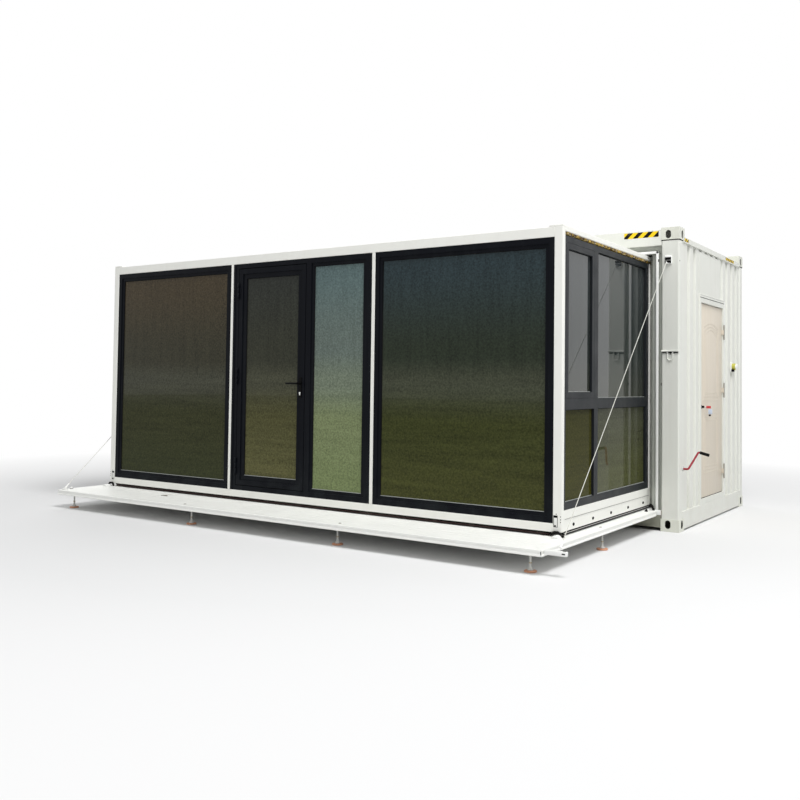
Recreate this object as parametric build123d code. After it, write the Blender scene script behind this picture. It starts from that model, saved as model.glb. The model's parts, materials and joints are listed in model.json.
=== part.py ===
from build123d import *
import os

# Expandable container cabin, in millimetres. +X runs along the container to the
# end with the side door, +Z is up, and the slide-out room and its deck face -Y.

# Container: a 20 ft high cube with ISO corner castings
container_length = 6058
container_width = 2438
container_height = 2896
casting_length = 178
casting_width = 162
casting_height = 118
side_hole_height = 79
side_hole_width = 51
side_hole_offset = 108      # from the casting's outer corner
side_hole_rise = 67         # from the casting's outer top or bottom
end_hole_offset = 89        # end face hole, from the casting's outer side
cap_hole_length = 124
cap_hole_width = 63
hole_depth = 55
cap_hole_depth = 27.5
cut_margin = 1              # how far a cutter runs past what it cuts
face_inset = 4              # rails and posts sit this far inside the casting faces
post_width = 170
post_depth = 110
rail_thickness = 60
rail_edge_gap = 16          # header's top and sills' undersides, in from top and bottom
sill_height = 170
end_rail_drop = 78          # end and rear rails' top, below the container's top
end_rail_height = 52
header_height = 152

# Insulated walls with a corrugated outer face
wall_inset = 12             # corrugation crests behind the rails' faces
wall_lining = 45
corrugation_depth = 36
corrugation_slope = 18
end_pitch = 204
end_valley = 64
end_phase = 145             # first valley from the container's front face
rear_pitch = 278
rear_valley = 70
roof_pitch = 209
roof_valley = 91
roof_depth = 20
roof_drop = 4               # roof's crests below the rails' top

# Floor and its bearers
floor_top = 190
floor_thickness = 40
floor_front = 10
bearer_width = 50
bearer_height = 120
bearer_count = 9
bearer_pitch = 600

# Lining of the side opening that the room slides through
opening_jamb = 107          # from a corner post to the clear opening
opening_drop = 76           # from the header down to the clear opening
trim_front = 20
trim_depth = 100
trim_ridge = 24
trim_ridge_height = 45
trim_channel = 49

# End doorway
doorway_y = 752             # clear opening's near side
doorway_width = 840
doorway_sill = 240
doorway_drop = 664          # from the container's top down to the clear opening
casing_width = 50
casing_head = 88
head_plate_end = 770         # flat plate over the doorway, from its near side
head_plate_thickness = 3
head_plate_drop = 20         # below the end rail
leaf_gap = 6
leaf_recess = 15
leaf_thickness = 45

# Slide-out room
room_depth = 1970           # how far it stands out of the container
room_tail = 150             # what stays inside
room_gap = 39               # beside the room, to the opening's lining
room_drop = 24              # above the room, to the opening's lining
room_lift = 34              # under the room, to the deck
room_floor_lift = 6         # from the room's underside to its floor panel
room_floor_thickness = 55
post_face = 72
front_post_depth = 50
rear_post_depth = 47
front_rail_height = 67
front_rail_depth = 70
side_rail_height = 164
side_rail_width = 119       # from the room's side to the rail's inner face
side_rail_set_in = 6
side_rail_web = 14
side_rail_flange = 18
fascia_height = 81
roof_thickness = 61
foam_height = 30
foam_proud = 3              # past the side windows' faces
side_fascia_rise = 12       # above the roof
cap_length = 120
cap_height = 15
seal_gap = 7
seal_thickness = 10
seal_set_in = 9
seal_inset = 2              # side seals, behind the side rails' faces
slide_clearance = 5

# Front and side glazing
frame_depth = 60
frame_set_back = 4
frame_bar = 80
frame_outer = 50            # full-depth part of a bar, outside its bead
bead_step = 10
glass_thickness = 24
glass_recess = 22
mullion_half = 861
mullion_width = 50
door_jamb = 44
door_bar = 47
door_split = 88             # where the door's opening meets the bar to the side light
split_bar = 92
stile = 96
side_set_in = 12
side_bar = 75
side_head_bar = 52
side_foot_bar = 60
sash_bay = 590              # clear width of the bay that holds the sash
side_mullion_width = 85
transom_bottom = 1178
transom_height = 90
sash_bar = 50
sash_gap = 0.3

# Rollers under the room's side rails, and their tracks
track_thickness = 6
track_width = 70
track_inset = 64            # from the room's side to the track's middle
track_end_gap = 221         # from a track's rear end to the rear wall
roller_radius = 65
roller_width = 50
roller_clearance = 0.3
roller_count = 5
roller_inset = 279          # from the room's front to the first roller
roller_last = -35
axle_radius = 10

# Fold-down deck
deck_margin = 35            # from the deck's end to a corner post's inner side
deck_length = 2540
deck_thickness = 50
deck_joint = 20             # between the deck's rear edge and the container's face
deck_hinge_radius = 14.7
deck_hinge_rise = 5         # above the deck's underside
deck_hinge_length = 150
deck_hinge_pitch = 960
deck_hinge_count = 6

# Jack feet under the deck
foot_inset = 110            # front feet, behind the deck's front edge
foot_inner_x = 885
foot_outer_inset = 140      # outer feet, from the deck's end
side_foot_inset = 50        # side feet, from the deck's end
side_foot_back = 1290       # side feet, behind the deck's front edge
pad_radius = 47
pad_thickness = 14
cup_radius = 34
cup_height = 38
stem_radius = 8
nut_radius = 17
nut_height = 12

# Stays from the corner posts to the deck's front corners
cable_radius = 4.5
cable_top_shift = 18        # from the post's middle towards the deck
cable_stand_off = 28        # in front of the post's face
cable_top_drops = (309, 586)        # right and left, below the container's top
cable_foot_reaches = (116, -45)     # right and left, past the deck's end
cable_foot_inset = 60       # behind the deck's front edge
cable_foot_rise = 16        # above the deck
socket_radius = 11
socket_length = 60
socket_tail_drop = 20       # how far it goes down past the cable's foot, into the bracket
hook_plate = (60, 6, 80)
hook_lug = (16, 32, 28)
bracket_reach = 135
bracket_depth = 40
bracket_thickness = 28
bracket_drop = 5            # below the deck's surface
eye_length = 40
eye_width = 50
eye_thickness = 16
eye_slot = (30, 16)
foot_pad = (50, 44, 18)     # under the left stay, on the deck

# Lashing bars with a hanging ring, half-way up the front posts
lashing_z = 1711
lashing_bar_height = 18
lashing_bar_depth = 16
ring_width = 62
ring_drop = 75
ring_wire = 5

# Hinges and handles
barrel_radius = 9
barrel_gap = 0.3
barrel_stand_off = 10       # from the panel's face to the barrel's axis
hinge_height = 160
hinge_plate = 34
hinge_plate_thickness = 3
front_hinge_low = 530
front_hinge_drops = (1080, 225)     # the other two, below the doorway's head
end_hinge_low = 465
end_hinge_drops = (892, 262)
lever_z = 1357
lever_length = 130
lever_stand_off = 52
lever_radius = 9
spindle_radius = 6
spindle_clearance = 1
lock_plate_width = 34
lock_plate_thickness = 6
lock_plate_above = 57       # above the lever
lock_plate_below = 133
lock_z = 1170
lock_backset = 55
lock_radius = 13
lock_reach = 26

# Crank on the end wall
crank_y = 118
crank_z = 591
crank_elbow = 50
crank_arm = (60, 130, 157)
crank_grip = (100, 0, -26)
crank_wire = 11
grip_radius = 15
grip_offset = 0.12          # bare share of the handle below the grip
crank_bearing_radius = 24
crank_bearing_length = 10
crank_bearing_web = 2
crank_clearance = 0.3

half_length = container_length / 2
front_face = face_inset
rear_face = container_width - face_inset
end_face = half_length - face_inset
post_inner = end_face - post_width
end_wall_outer = end_face - wall_inset
end_wall_inner = end_wall_outer - corrugation_depth - wall_lining
rear_wall_outer = rear_face - wall_inset
rear_wall_inner = rear_wall_outer - corrugation_depth - wall_lining
sill_bottom = rail_edge_gap
sill_top = sill_bottom + sill_height
header_top = container_height - rail_edge_gap
header_bottom = header_top - header_height
end_rail_top = container_height - end_rail_drop
end_rail_bottom = end_rail_top - end_rail_height
wall_height = end_rail_bottom - sill_top
roof_lining = end_rail_height - roof_drop - roof_depth
opening_half = post_inner - opening_jamb
opening_top = header_bottom - opening_drop
doorway_top = container_height - doorway_drop
room_front = -room_depth
room_half = opening_half - room_gap
room_bottom = floor_top + room_lift
roof_top = opening_top - room_drop
roof_bottom = roof_top - roof_thickness
fascia_bottom = roof_top - fascia_height
front_rail_top = room_bottom + front_rail_height
side_rail_top = room_bottom + side_rail_height
side_rail_inner = room_half - side_rail_width
track_x = room_half - track_inset
deck_front = -deck_joint - deck_length
deck_half = post_inner - deck_margin
post_middle = (post_inner + end_face) / 2

# The row's origin is the middle of the whole footprint, at the ground
grip_tilt = abs(crank_grip[2]) / (crank_grip[0] ** 2 + crank_grip[2] ** 2) ** 0.5
grip_end_x = half_length + crank_elbow + crank_arm[0] + crank_grip[0]
right_reach = grip_end_x + grip_radius * grip_tilt
centre_x = (right_reach - half_length) / 2
centre_y = (deck_front + container_width) / 2


def block(x, y, z):
    """Box between two bounds on each axis."""
    size = [b - a for a, b in (x, y, z)]
    middle = [(a + b) / 2 for a, b in (x, y, z)]
    return Pos(*middle) * Box(*size)


def rod(start, end, radius):
    """Cylinder from one point to another."""
    path = Vector(*end) - Vector(*start)
    standing = (Align.CENTER, Align.CENTER, Align.MIN)
    return Plane(origin=start, z_dir=path) * Cylinder(radius, path.length, align=standing)


def both_ends(shape):
    """A shape and its mirror image at the container's other end."""
    return [shape, mirror(shape, about=Plane.YZ)]


def ridges(start, end, pitch, valley, slope, depth, phase):
    """Outline of corrugation along a wall: crests at 0, valleys at -depth."""
    points = [(start, 0)]
    centre = phase
    while centre - valley / 2 - slope < start:
        centre += pitch
    while centre + valley / 2 + slope < end:
        points += [
            (centre - valley / 2 - slope, 0),
            (centre - valley / 2, -depth),
            (centre + valley / 2, -depth),
            (centre + valley / 2 + slope, 0),
        ]
        centre += pitch
    return points + [(end, 0)]


def corrugated(start, end, height, pitch, valley, slope, depth, lining, phase):
    """Wall panel standing on the XY plane with its crests on the X axis."""
    outline = ridges(start, end, pitch, valley, slope, depth, phase)
    back = -depth - lining
    face = make_face(Polyline(*outline, (end, back), (start, back), close=True))
    return extrude(face, height)


def save(name, *shapes):
    """Write one node, moved so that the row's origin is under its centre."""
    solids = [s for shape in shapes for s in shape.solids()]
    moved = [Pos(-centre_x, -centre_y, 0) * s for s in solids]
    export_step(Compound(children=moved), f"parts/{name}.step")


def slot_cutter(length, width, depth):
    """Round-ended prism for a casting's hole, long along X."""
    return extrude(SlotOverall(length, width), depth)


def casting_block(top):
    """Outer block of the corner casting at the right front corner."""
    z0 = container_height - casting_height if top else 0
    return block((half_length - casting_length, half_length), (0, casting_width), (z0, z0 + casting_height))


def casting(top):
    """Corner casting at the right front corner, with its three holes."""
    z0 = container_height - casting_height if top else 0
    z1 = z0 + casting_height
    body = casting_block(top)
    hole_z = z1 - side_hole_rise if top else z0 + side_hole_rise
    side_x = half_length - side_hole_offset
    side = Plane((side_x, 0, hole_z), x_dir=(0, 0, 1), z_dir=(0, 1, 0))
    end = Plane((half_length, end_hole_offset, hole_z), x_dir=(0, 0, 1), z_dir=(-1, 0, 0))
    cap_z = z1 if top else z0
    cap = Plane(
        (half_length - casting_length / 2, casting_width / 2, cap_z),
        x_dir=(1, 0, 0),
        z_dir=(0, 0, -1 if top else 1),
    )
    body -= side * slot_cutter(side_hole_height, side_hole_width, hole_depth)
    body -= end * slot_cutter(side_hole_height, side_hole_width, hole_depth)
    body -= cap * slot_cutter(cap_hole_length, cap_hole_width, cap_hole_depth)
    return body


def four_corners(shape):
    """A shape at the right front corner, repeated at all four."""
    across = Plane(origin=(0, container_width / 2, 0), z_dir=(0, 1, 0))
    return both_ends(shape) + both_ends(mirror(shape, about=across))


def corner_post():
    """Post between the castings at the right front corner."""
    return block(
        (post_inner, end_face),
        (front_face, front_face + post_depth),
        (casting_height, container_height - casting_height),
    )


def fit_castings(rail, top):
    """A rail notched where the corner castings stand."""
    for corner in four_corners(casting_block(top)):
        rail -= corner
    return rail


def build_frame():
    """Posts, castings, rails and sills of the container."""
    low = casting(False)
    high = casting(True)
    save("lower_corner_castings", *four_corners(low))
    save("upper_corner_castings", *four_corners(high))
    save("corner_posts", *four_corners(corner_post()))
    between = half_length - casting_length
    along = (-post_inner, post_inner)
    across = (front_face + post_depth, rear_face - post_depth)
    end_band = (end_face - rail_thickness, end_face)
    rear_band = (rear_face - rail_thickness, rear_face)
    header = block(along, (front_face, front_face + rail_thickness), (header_bottom, header_top))
    save("front_header", fit_castings(header, True))
    rail_z = (end_rail_bottom, end_rail_top)
    end_rail = block(end_band, across, rail_z)
    rear_rail = block(along, rear_band, rail_z)
    save("top_rails", *[fit_castings(r, True) for r in both_ends(end_rail) + [rear_rail]])
    end_sill = block(end_band, across, (sill_bottom, sill_top))
    rear_sill = block(along, rear_band, (sill_bottom, sill_top))
    save("bottom_sills", *[fit_castings(r, False) for r in both_ends(end_sill) + [rear_sill]])
    bearer_top = floor_top - floor_thickness
    front_rail = block(
        (-between, between),
        (floor_front, floor_front + rail_thickness),
        (bearer_top - bearer_height, bearer_top),
    )
    save("front_bottom_rail", front_rail)
    first = -bearer_pitch * (bearer_count - 1) / 2
    bearers = []
    for i in range(bearer_count):
        x = first + i * bearer_pitch
        bearers.append(block(
            (x - bearer_width / 2, x + bearer_width / 2),
            (floor_front + rail_thickness, rear_face - rail_thickness),
            (bearer_top - bearer_height, bearer_top),
        ))
    save("floor_bearers", *bearers)
    floor = block(
        (-end_wall_inner, end_wall_inner),
        (floor_front, rear_wall_inner),
        (bearer_top, floor_top),
    )
    for corner in four_corners(corner_post()):
        floor -= corner
    save("container_floor", floor)


def end_wall():
    """Whole end wall at the door end, before the doorway is cut."""
    start = front_face + post_depth
    end = rear_face - post_depth
    panel = corrugated(
        start, end, wall_height, end_pitch, end_valley,
        corrugation_slope, corrugation_depth, wall_lining, end_phase,
    )
    place = Plane((end_wall_outer, 0, sill_top), x_dir=(0, 1, 0), z_dir=(0, 0, 1))
    return place * mirror(panel, about=Plane.XZ)


def build_walls():
    """Corrugated walls and roof, with the doorway left open at the right end."""
    wall = end_wall()
    near = doorway_y - casing_width
    far = doorway_y + doorway_width + casing_width
    head = doorway_top + casing_head
    depth = (end_wall_inner - cut_margin, end_wall_outer + cut_margin)
    save("left_end_wall", mirror(wall, about=Plane.YZ))
    save("door_wall_front", wall & block(depth, (0, near), (0, container_height)))
    save("door_wall_rear", wall & block(depth, (far, container_width), (0, container_height)))
    save("door_wall_head", wall & block(depth, (near, far), (head, container_height)))
    plate = block(
        (end_wall_outer, end_wall_outer + head_plate_thickness),
        (near, doorway_y + head_plate_end),
        (head, end_rail_bottom - head_plate_drop),
    )
    save("door_head_plate", plate)
    rear = corrugated(
        -post_inner, post_inner, wall_height, rear_pitch, rear_valley,
        corrugation_slope, corrugation_depth, wall_lining, -post_inner + rear_pitch / 2,
    )
    save("rear_wall", Pos(0, rear_wall_outer, sill_top) * rear)
    roof_start = -end_face + rail_thickness
    roof_span = rear_face - front_face - 2 * rail_thickness
    roof = corrugated(
        roof_start, -roof_start, roof_span, roof_pitch, roof_valley,
        corrugation_slope, roof_depth, roof_lining, roof_start + roof_pitch / 2,
    )
    lift = Plane(
        (0, rear_face - rail_thickness, end_rail_top - roof_drop), x_dir=(1, 0, 0), z_dir=(0, -1, 0)
    )
    roof = lift * roof
    for corner in four_corners(casting_block(True)) + four_corners(corner_post()):
        roof -= corner
    save("roof_panel", roof)


def build_opening():
    """Stepped lining around the container's side opening."""
    ridge_x = opening_half + trim_channel
    back = trim_front + trim_ridge_height
    jamb = Polyline(
        (opening_half, back),
        (ridge_x, back),
        (ridge_x, trim_front),
        (ridge_x + trim_ridge, trim_front),
        (ridge_x + trim_ridge, back),
        (post_inner, back),
        (post_inner, trim_front + trim_depth),
        (opening_half, trim_front + trim_depth),
        close=True,
    )
    jamb = Pos(0, 0, floor_top) * extrude(make_face(jamb), opening_top - floor_top)
    save("opening_jambs", *both_ends(jamb))
    head = block((-post_inner, post_inner), (back, trim_front + trim_depth), (opening_top, end_rail_bottom))
    lip_end = ridge_x + trim_ridge
    head += block((-lip_end, lip_end), (trim_front, back), (opening_top, opening_top + trim_ridge))
    save("opening_head", head)


def build_end_doorway():
    """Casing round the doorway in the end wall."""
    y0, y1 = doorway_y, doorway_y + doorway_width
    depth = (end_wall_inner, end_face)
    casing = block(depth, (y0 - casing_width, y1 + casing_width), (sill_top, doorway_top + casing_head))
    casing -= block(depth, (y0, y1), (doorway_sill, doorway_top))
    save("end_door_casing", casing)


def hinge_halves(z, leaf_side, frame_side):
    """Two halves of a butt hinge on a vertical axis at the origin.

    leaf_side and frame_side are the blocks that tie each half to its panel.
    """
    third = hinge_height / 3
    middle = (z - third / 2 + barrel_gap, z + third / 2 - barrel_gap)
    leaf = rod((0, 0, middle[0]), (0, 0, middle[1]), barrel_radius)
    leaf += block(*leaf_side, middle)
    frame = rod((0, 0, z + third / 2), (0, 0, z + hinge_height / 2), barrel_radius)
    frame += rod((0, 0, z - hinge_height / 2), (0, 0, z - third / 2), barrel_radius)
    frame += block(*frame_side, (z - hinge_height / 2, z - third / 2))
    frame += block(*frame_side, (z + third / 2, z + hinge_height / 2))
    return leaf, frame


def build_tracks():
    """Flat tracks on the deck and on the container's floor."""
    x = (track_x - track_width / 2, track_x + track_width / 2)
    z = (floor_top, floor_top + track_thickness)
    outside = block(x, (room_front + front_rail_depth, -deck_joint), z)
    inside = block(x, (floor_front, rear_wall_inner - track_end_gap), z)
    save("slide_tracks", *both_ends(outside), *both_ends(inside))


def build_deck():
    """Deck, its hinges, its jack feet and the brackets for the stays."""
    deck_bottom = floor_top - deck_thickness
    save("deck_panel", block((-deck_half, deck_half), (deck_front, -deck_joint), (deck_bottom, floor_top)))
    axis_y = (floor_front - deck_joint) / 2
    axis_z = deck_bottom + deck_hinge_rise
    first = -deck_hinge_pitch * (deck_hinge_count - 1) / 2
    hinges = []
    for i in range(deck_hinge_count):
        x = first + i * deck_hinge_pitch
        ends = [(x + side * deck_hinge_length / 2, axis_y, axis_z) for side in (-1, 1)]
        hinges.append(rod(*ends, deck_hinge_radius))
    save("deck_hinges", *hinges)
    pads = []
    jacks = []
    foot_y = deck_front + foot_inset
    spots = [
        (foot_inner_x, foot_y),
        (deck_half - foot_outer_inset, foot_y),
        (deck_half - side_foot_inset, deck_front + side_foot_back),
    ]
    for x, y in spots:
        pads += both_ends(rod((x, y, 0), (x, y, pad_thickness), pad_radius))
        cup = Cone(cup_radius, stem_radius, cup_height, align=(Align.CENTER, Align.CENTER, Align.MIN))
        jack = Pos(x, y, pad_thickness) * cup
        jack += rod((x, y, pad_thickness + cup_height), (x, y, deck_bottom), stem_radius)
        jack += rod((x, y, deck_bottom - nut_height), (x, y, deck_bottom), nut_radius)
        jacks += both_ends(jack)
    save("jack_feet", *jacks)
    save("foot_pads", *pads)


def stay(top, foot):
    """Cable and its hook at the post, and the socket at its foot."""
    along = (foot - top).normalized()
    cable = rod(top + along * socket_length, foot - along * socket_length, cable_radius)
    plate_face = front_face - hook_plate[1]
    hook = block(
        (top.X - hook_plate[0] / 2, top.X + hook_plate[0] / 2),
        (plate_face, front_face),
        (top.Z - hook_plate[2] / 2, top.Z + hook_plate[2] / 2),
    )
    hook += block(
        (top.X - hook_lug[0] / 2, top.X + hook_lug[0] / 2),
        (plate_face - hook_lug[1], plate_face),
        (top.Z - hook_lug[2] / 2, top.Z + hook_lug[2] / 2),
    )
    hook += rod(top, top + along * socket_length, socket_radius)
    return cable, hook, rod(foot - along * socket_length, foot, socket_radius)


def build_stays():
    """Taut stays with a socket at each end, their hooks and their fixings to the deck."""
    foot_y = deck_front + cable_foot_inset
    ends = []
    for side, drop, reach in zip((1, -1), cable_top_drops, cable_foot_reaches):
        top = (side * (post_middle - cable_top_shift), front_face - cable_stand_off, container_height - drop)
        foot = (side * (deck_half + reach), foot_y, floor_top + cable_foot_rise)
        ends.append((Vector(*top), Vector(*foot)))
    right, left = [stay(top, foot) for top, foot in ends]
    save("stay_cables", right[0], left[0])
    save("stay_hooks", right[1], left[1])
    arm_end = deck_half + bracket_reach
    arm_top = floor_top - bracket_drop
    arm_y = (foot_y - bracket_depth / 2, foot_y + bracket_depth / 2)
    bracket = block((deck_half, arm_end), arm_y, (arm_top - bracket_thickness, arm_top))
    eye = Pos(arm_end, foot_y, arm_top - bracket_thickness / 2) * extrude(
        SlotOverall(2 * eye_length, eye_width) - Pos(eye_length / 2, 0) * SlotOverall(*eye_slot),
        eye_thickness / 2,
        both=True,
    )
    eye_y = (foot_y - eye_width, foot_y + eye_width)
    bracket += eye & block((arm_end, arm_end + eye_length), eye_y, (0, floor_top))
    top, foot = ends[0]
    tail = (top - foot).normalized()
    bracket += rod(foot, foot - tail * (socket_tail_drop / tail.Z), socket_radius)
    left_foot = ends[1][1]
    pad = block(
        (left_foot.X - foot_pad[0] / 2, left_foot.X + foot_pad[0] / 2),
        (foot_y - foot_pad[1] / 2, foot_y + foot_pad[1] / 2),
        (floor_top, floor_top + foot_pad[2]),
    )
    save("stay_brackets", bracket + right[2], pad + left[2])


def build_lashing_bars():
    """Bar across each front post with a ring hanging under it."""
    bar = block(
        (post_inner, end_face),
        (front_face - lashing_bar_depth, front_face),
        (lashing_z - lashing_bar_height / 2, lashing_z + lashing_bar_height / 2),
    )
    middle = post_middle
    low = lashing_z - lashing_bar_height / 2
    half = ring_width / 2 - ring_wire
    y = front_face - lashing_bar_depth / 2
    legs = rod((middle - half, y, low), (middle - half, y, low - ring_drop + half), ring_wire)
    legs += rod((middle + half, y, low), (middle + half, y, low - ring_drop + half), ring_wire)
    bow = Pos(middle, y, low - ring_drop + half) * Rot(90, 0, 0) * Torus(half, ring_wire)
    bow &= block(
        (middle - half - ring_wire, middle + half + ring_wire),
        (y - ring_wire, y + ring_wire),
        (low - ring_drop - ring_wire, low - ring_drop + half),
    )
    save("lashing_bars", *both_ends(bar + legs + bow))


def glazed_frame(x, z, bar, holes, plane):
    """Frame in a plane's own x and y, with its beads set back from its face.

    The plane's z points out of the wall, and its origin is on the frame's face.
    """
    frame = block(x, z, (-frame_depth, 0))
    rebate = bar - frame_outer
    for hole_x, hole_z in holes:
        frame -= block(hole_x, hole_z, (-frame_depth, 0))
        frame -= block(
            (hole_x[0] - rebate, hole_x[1] + rebate),
            (hole_z[0] - rebate, hole_z[1] + rebate),
            (-bead_step, 0),
        )
    return plane * frame


def pane(x, z, plane):
    """Sealed glazing unit that fills a frame's hole."""
    return plane * block(x, z, (-glass_recess - glass_thickness, -glass_recess))


def inset(span, amount):
    """A span drawn in at both ends."""
    return (span[0] + amount, span[1] - amount)


front_plane = Plane((0, room_front + frame_set_back, 0), x_dir=(1, 0, 0), z_dir=(0, -1, 0))
side_plane = Plane((room_half - side_set_in, 0, 0), x_dir=(0, 1, 0), z_dir=(1, 0, 0))
front_z = (front_rail_top, fascia_bottom)
bay_outer = room_half - post_face
bay_inner = mullion_half + mullion_width / 2
door_half = mullion_half - mullion_width / 2
door_hole_x = (-door_half + door_jamb, door_split)
door_hole_z = inset(front_z, door_bar)
side_light_x = (door_split + split_bar, door_half - frame_bar)
side_light_z = inset(front_z, frame_bar)


def build_room_shell():
    """Posts, rails, floor and roof of the slide-out room."""
    corner_x = (room_half - post_face, room_half)
    post_y = (room_front, room_front + front_post_depth)
    front_post = block(corner_x, post_y, (room_bottom, roof_top))
    front_post += block(corner_x, (room_front, room_front + front_rail_depth), (room_bottom, side_rail_top))
    rear_post = block(corner_x, (room_tail - rear_post_depth, room_tail), (room_bottom, roof_bottom))
    save("room_posts", *both_ends(front_post), *both_ends(rear_post))
    mullion = block(
        (mullion_half - mullion_width / 2, mullion_half + mullion_width / 2),
        (room_front, room_front + frame_depth + frame_set_back),
        front_z,
    )
    save("front_mullions", *both_ends(mullion))
    rail_y = (room_front, room_front + front_rail_depth)
    bay = (-bay_outer, bay_outer)
    save("room_front_rail", block(bay, rail_y, (room_bottom, front_rail_top)))
    front_fascia = block(bay, rail_y, (fascia_bottom, roof_top))
    behind_post = (room_front + front_rail_depth, room_tail - rear_post_depth)
    rail_x = (side_rail_inner, room_half - side_rail_set_in)
    side_rail = block(rail_x, behind_post, (room_bottom, side_rail_top))
    side_rail -= block(
        (rail_x[0] + side_rail_web, rail_x[1] - side_rail_web),
        behind_post,
        (room_bottom, side_rail_top - side_rail_flange),
    )
    save("room_side_rails", *both_ends(side_rail))
    floor_y = (room_front + front_rail_depth, room_tail)
    floor_z = (room_bottom + room_floor_lift, room_bottom + room_floor_lift + room_floor_thickness)
    save("room_floor", block((-side_rail_inner, side_rail_inner), floor_y, floor_z))
    save("room_roof", block(bay, floor_y, (roof_bottom, roof_top)))
    edge_y = (room_front + front_post_depth, room_tail)
    foam_top = roof_bottom + foam_height
    strip = block((bay_outer, side_plane.origin.X + foam_proud), edge_y, (roof_bottom, foam_top))
    save("roof_foam_strips", *both_ends(strip))
    side_fascia = block((bay_outer, room_half), edge_y, (foam_top, roof_top + side_fascia_rise))
    save("roof_fascias", front_fascia, *both_ends(side_fascia))
    cap = block((room_half - cap_length, room_half), post_y, (roof_top, roof_top + cap_height))
    save("roof_corner_caps", *both_ends(cap))
    seal_z = (floor_top + seal_gap, room_bottom)
    seal_half = track_x - track_width / 2 - slide_clearance
    front_seal = block(
        (-seal_half, seal_half),
        (room_front + seal_set_in, room_front + seal_set_in + seal_thickness),
        seal_z,
    )
    seal_x = room_half - side_rail_set_in - seal_inset
    side_seal = block((seal_x - seal_thickness, seal_x), behind_post, seal_z)
    save("room_skirt_seals", front_seal, *both_ends(side_seal))


def build_rollers():
    """Rollers on stub axles, inside the channel of each side rail."""
    z = floor_top + track_thickness + roller_clearance + roller_radius
    inner = side_rail_inner + side_rail_web
    outer = room_half - side_rail_set_in - side_rail_web
    first = room_front + roller_inset
    pitch = (roller_last - first) / (roller_count - 1)
    rollers = []
    for i in range(roller_count):
        y = first + i * pitch
        roller = rod((track_x - roller_width / 2, y, z), (track_x + roller_width / 2, y, z), roller_radius)
        roller += rod((inner, y, z), (outer, y, z), axle_radius)
        rollers += both_ends(roller)
    save("room_rollers", *rollers)


def build_front_glazing():
    """Fixed windows, the doorway frame and the door in the room's front."""
    bay_x = (bay_inner, bay_outer)
    pane_x = inset(bay_x, frame_bar)
    pane_z = inset(front_z, frame_bar)
    window = glazed_frame(bay_x, front_z, frame_bar, [(pane_x, pane_z)], front_plane)
    save("front_window_frames", *both_ends(window))
    doorway = glazed_frame(
        (-door_half, door_half), front_z, frame_bar, [(side_light_x, side_light_z)], front_plane
    )
    doorway -= front_plane * block(door_hole_x, door_hole_z, (-frame_depth, 0))
    save("doorway_frame", doorway)
    side_light = pane(side_light_x, side_light_z, front_plane)
    save("front_window_glass", *both_ends(pane(pane_x, pane_z, front_plane)), side_light)


def build_front_door():
    """Glazed front door with its hinges and lever handle."""
    leaf_x = inset(door_hole_x, leaf_gap)
    leaf_z = inset(door_hole_z, leaf_gap)
    glass_x = inset(leaf_x, stile)
    glass_z = inset(leaf_z, stile)
    leaf = glazed_frame(leaf_x, leaf_z, stile, [(glass_x, glass_z)], front_plane)
    face_y = front_plane.origin.Y
    spindle_x = leaf_x[1] - stile / 2
    back_y = face_y + frame_depth
    outer = face_y - lock_plate_thickness
    inner = back_y + lock_plate_thickness
    bore = rod(
        (spindle_x, outer - cut_margin, lever_z),
        (spindle_x, inner + cut_margin, lever_z),
        spindle_radius + spindle_clearance,
    )
    save("front_door_leaf", leaf - bore)
    save("front_door_glass", pane(glass_x, glass_z, front_plane))
    plate_x = (spindle_x - lock_plate_width / 2, spindle_x + lock_plate_width / 2)
    plate_z = (lever_z - lock_plate_below, lever_z + lock_plate_above)
    plates = [block(plate_x, y, plate_z) - bore for y in ((outer, face_y), (back_y, inner))]
    save("front_door_lock_plates", *plates)
    grips_y = (outer - lever_stand_off, inner + lever_stand_off)
    lever = rod((spindle_x, grips_y[0], lever_z), (spindle_x, grips_y[1], lever_z), spindle_radius)
    for y in grips_y:
        heel = (spindle_x + lever_radius, y, lever_z)
        lever += rod(heel, (spindle_x - lever_length, y, lever_z), lever_radius)
    save("front_door_lever", lever)
    axis = (door_hole_x[0] + leaf_gap / 2, face_y - barrel_stand_off)
    plate_depth = (barrel_stand_off - hinge_plate_thickness, barrel_stand_off)
    leaf_side = ((0, hinge_plate), plate_depth)
    frame_side = ((-hinge_plate, 0), plate_depth)
    heights = [front_hinge_low] + [door_hole_z[1] - drop for drop in front_hinge_drops]
    halves = [hinge_halves(z, leaf_side, frame_side) for z in heights]
    place = Pos(axis[0], axis[1], 0)
    save("front_door_hinges", *[place * leaf_half for leaf_half, frame_half in halves])
    save("doorway_hinges", *[place * frame_half for leaf_half, frame_half in halves])
    report_joint("front_door", (axis[0], axis[1], lever_z))
    report_joint("front_lever", (spindle_x, face_y, lever_z))


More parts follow.
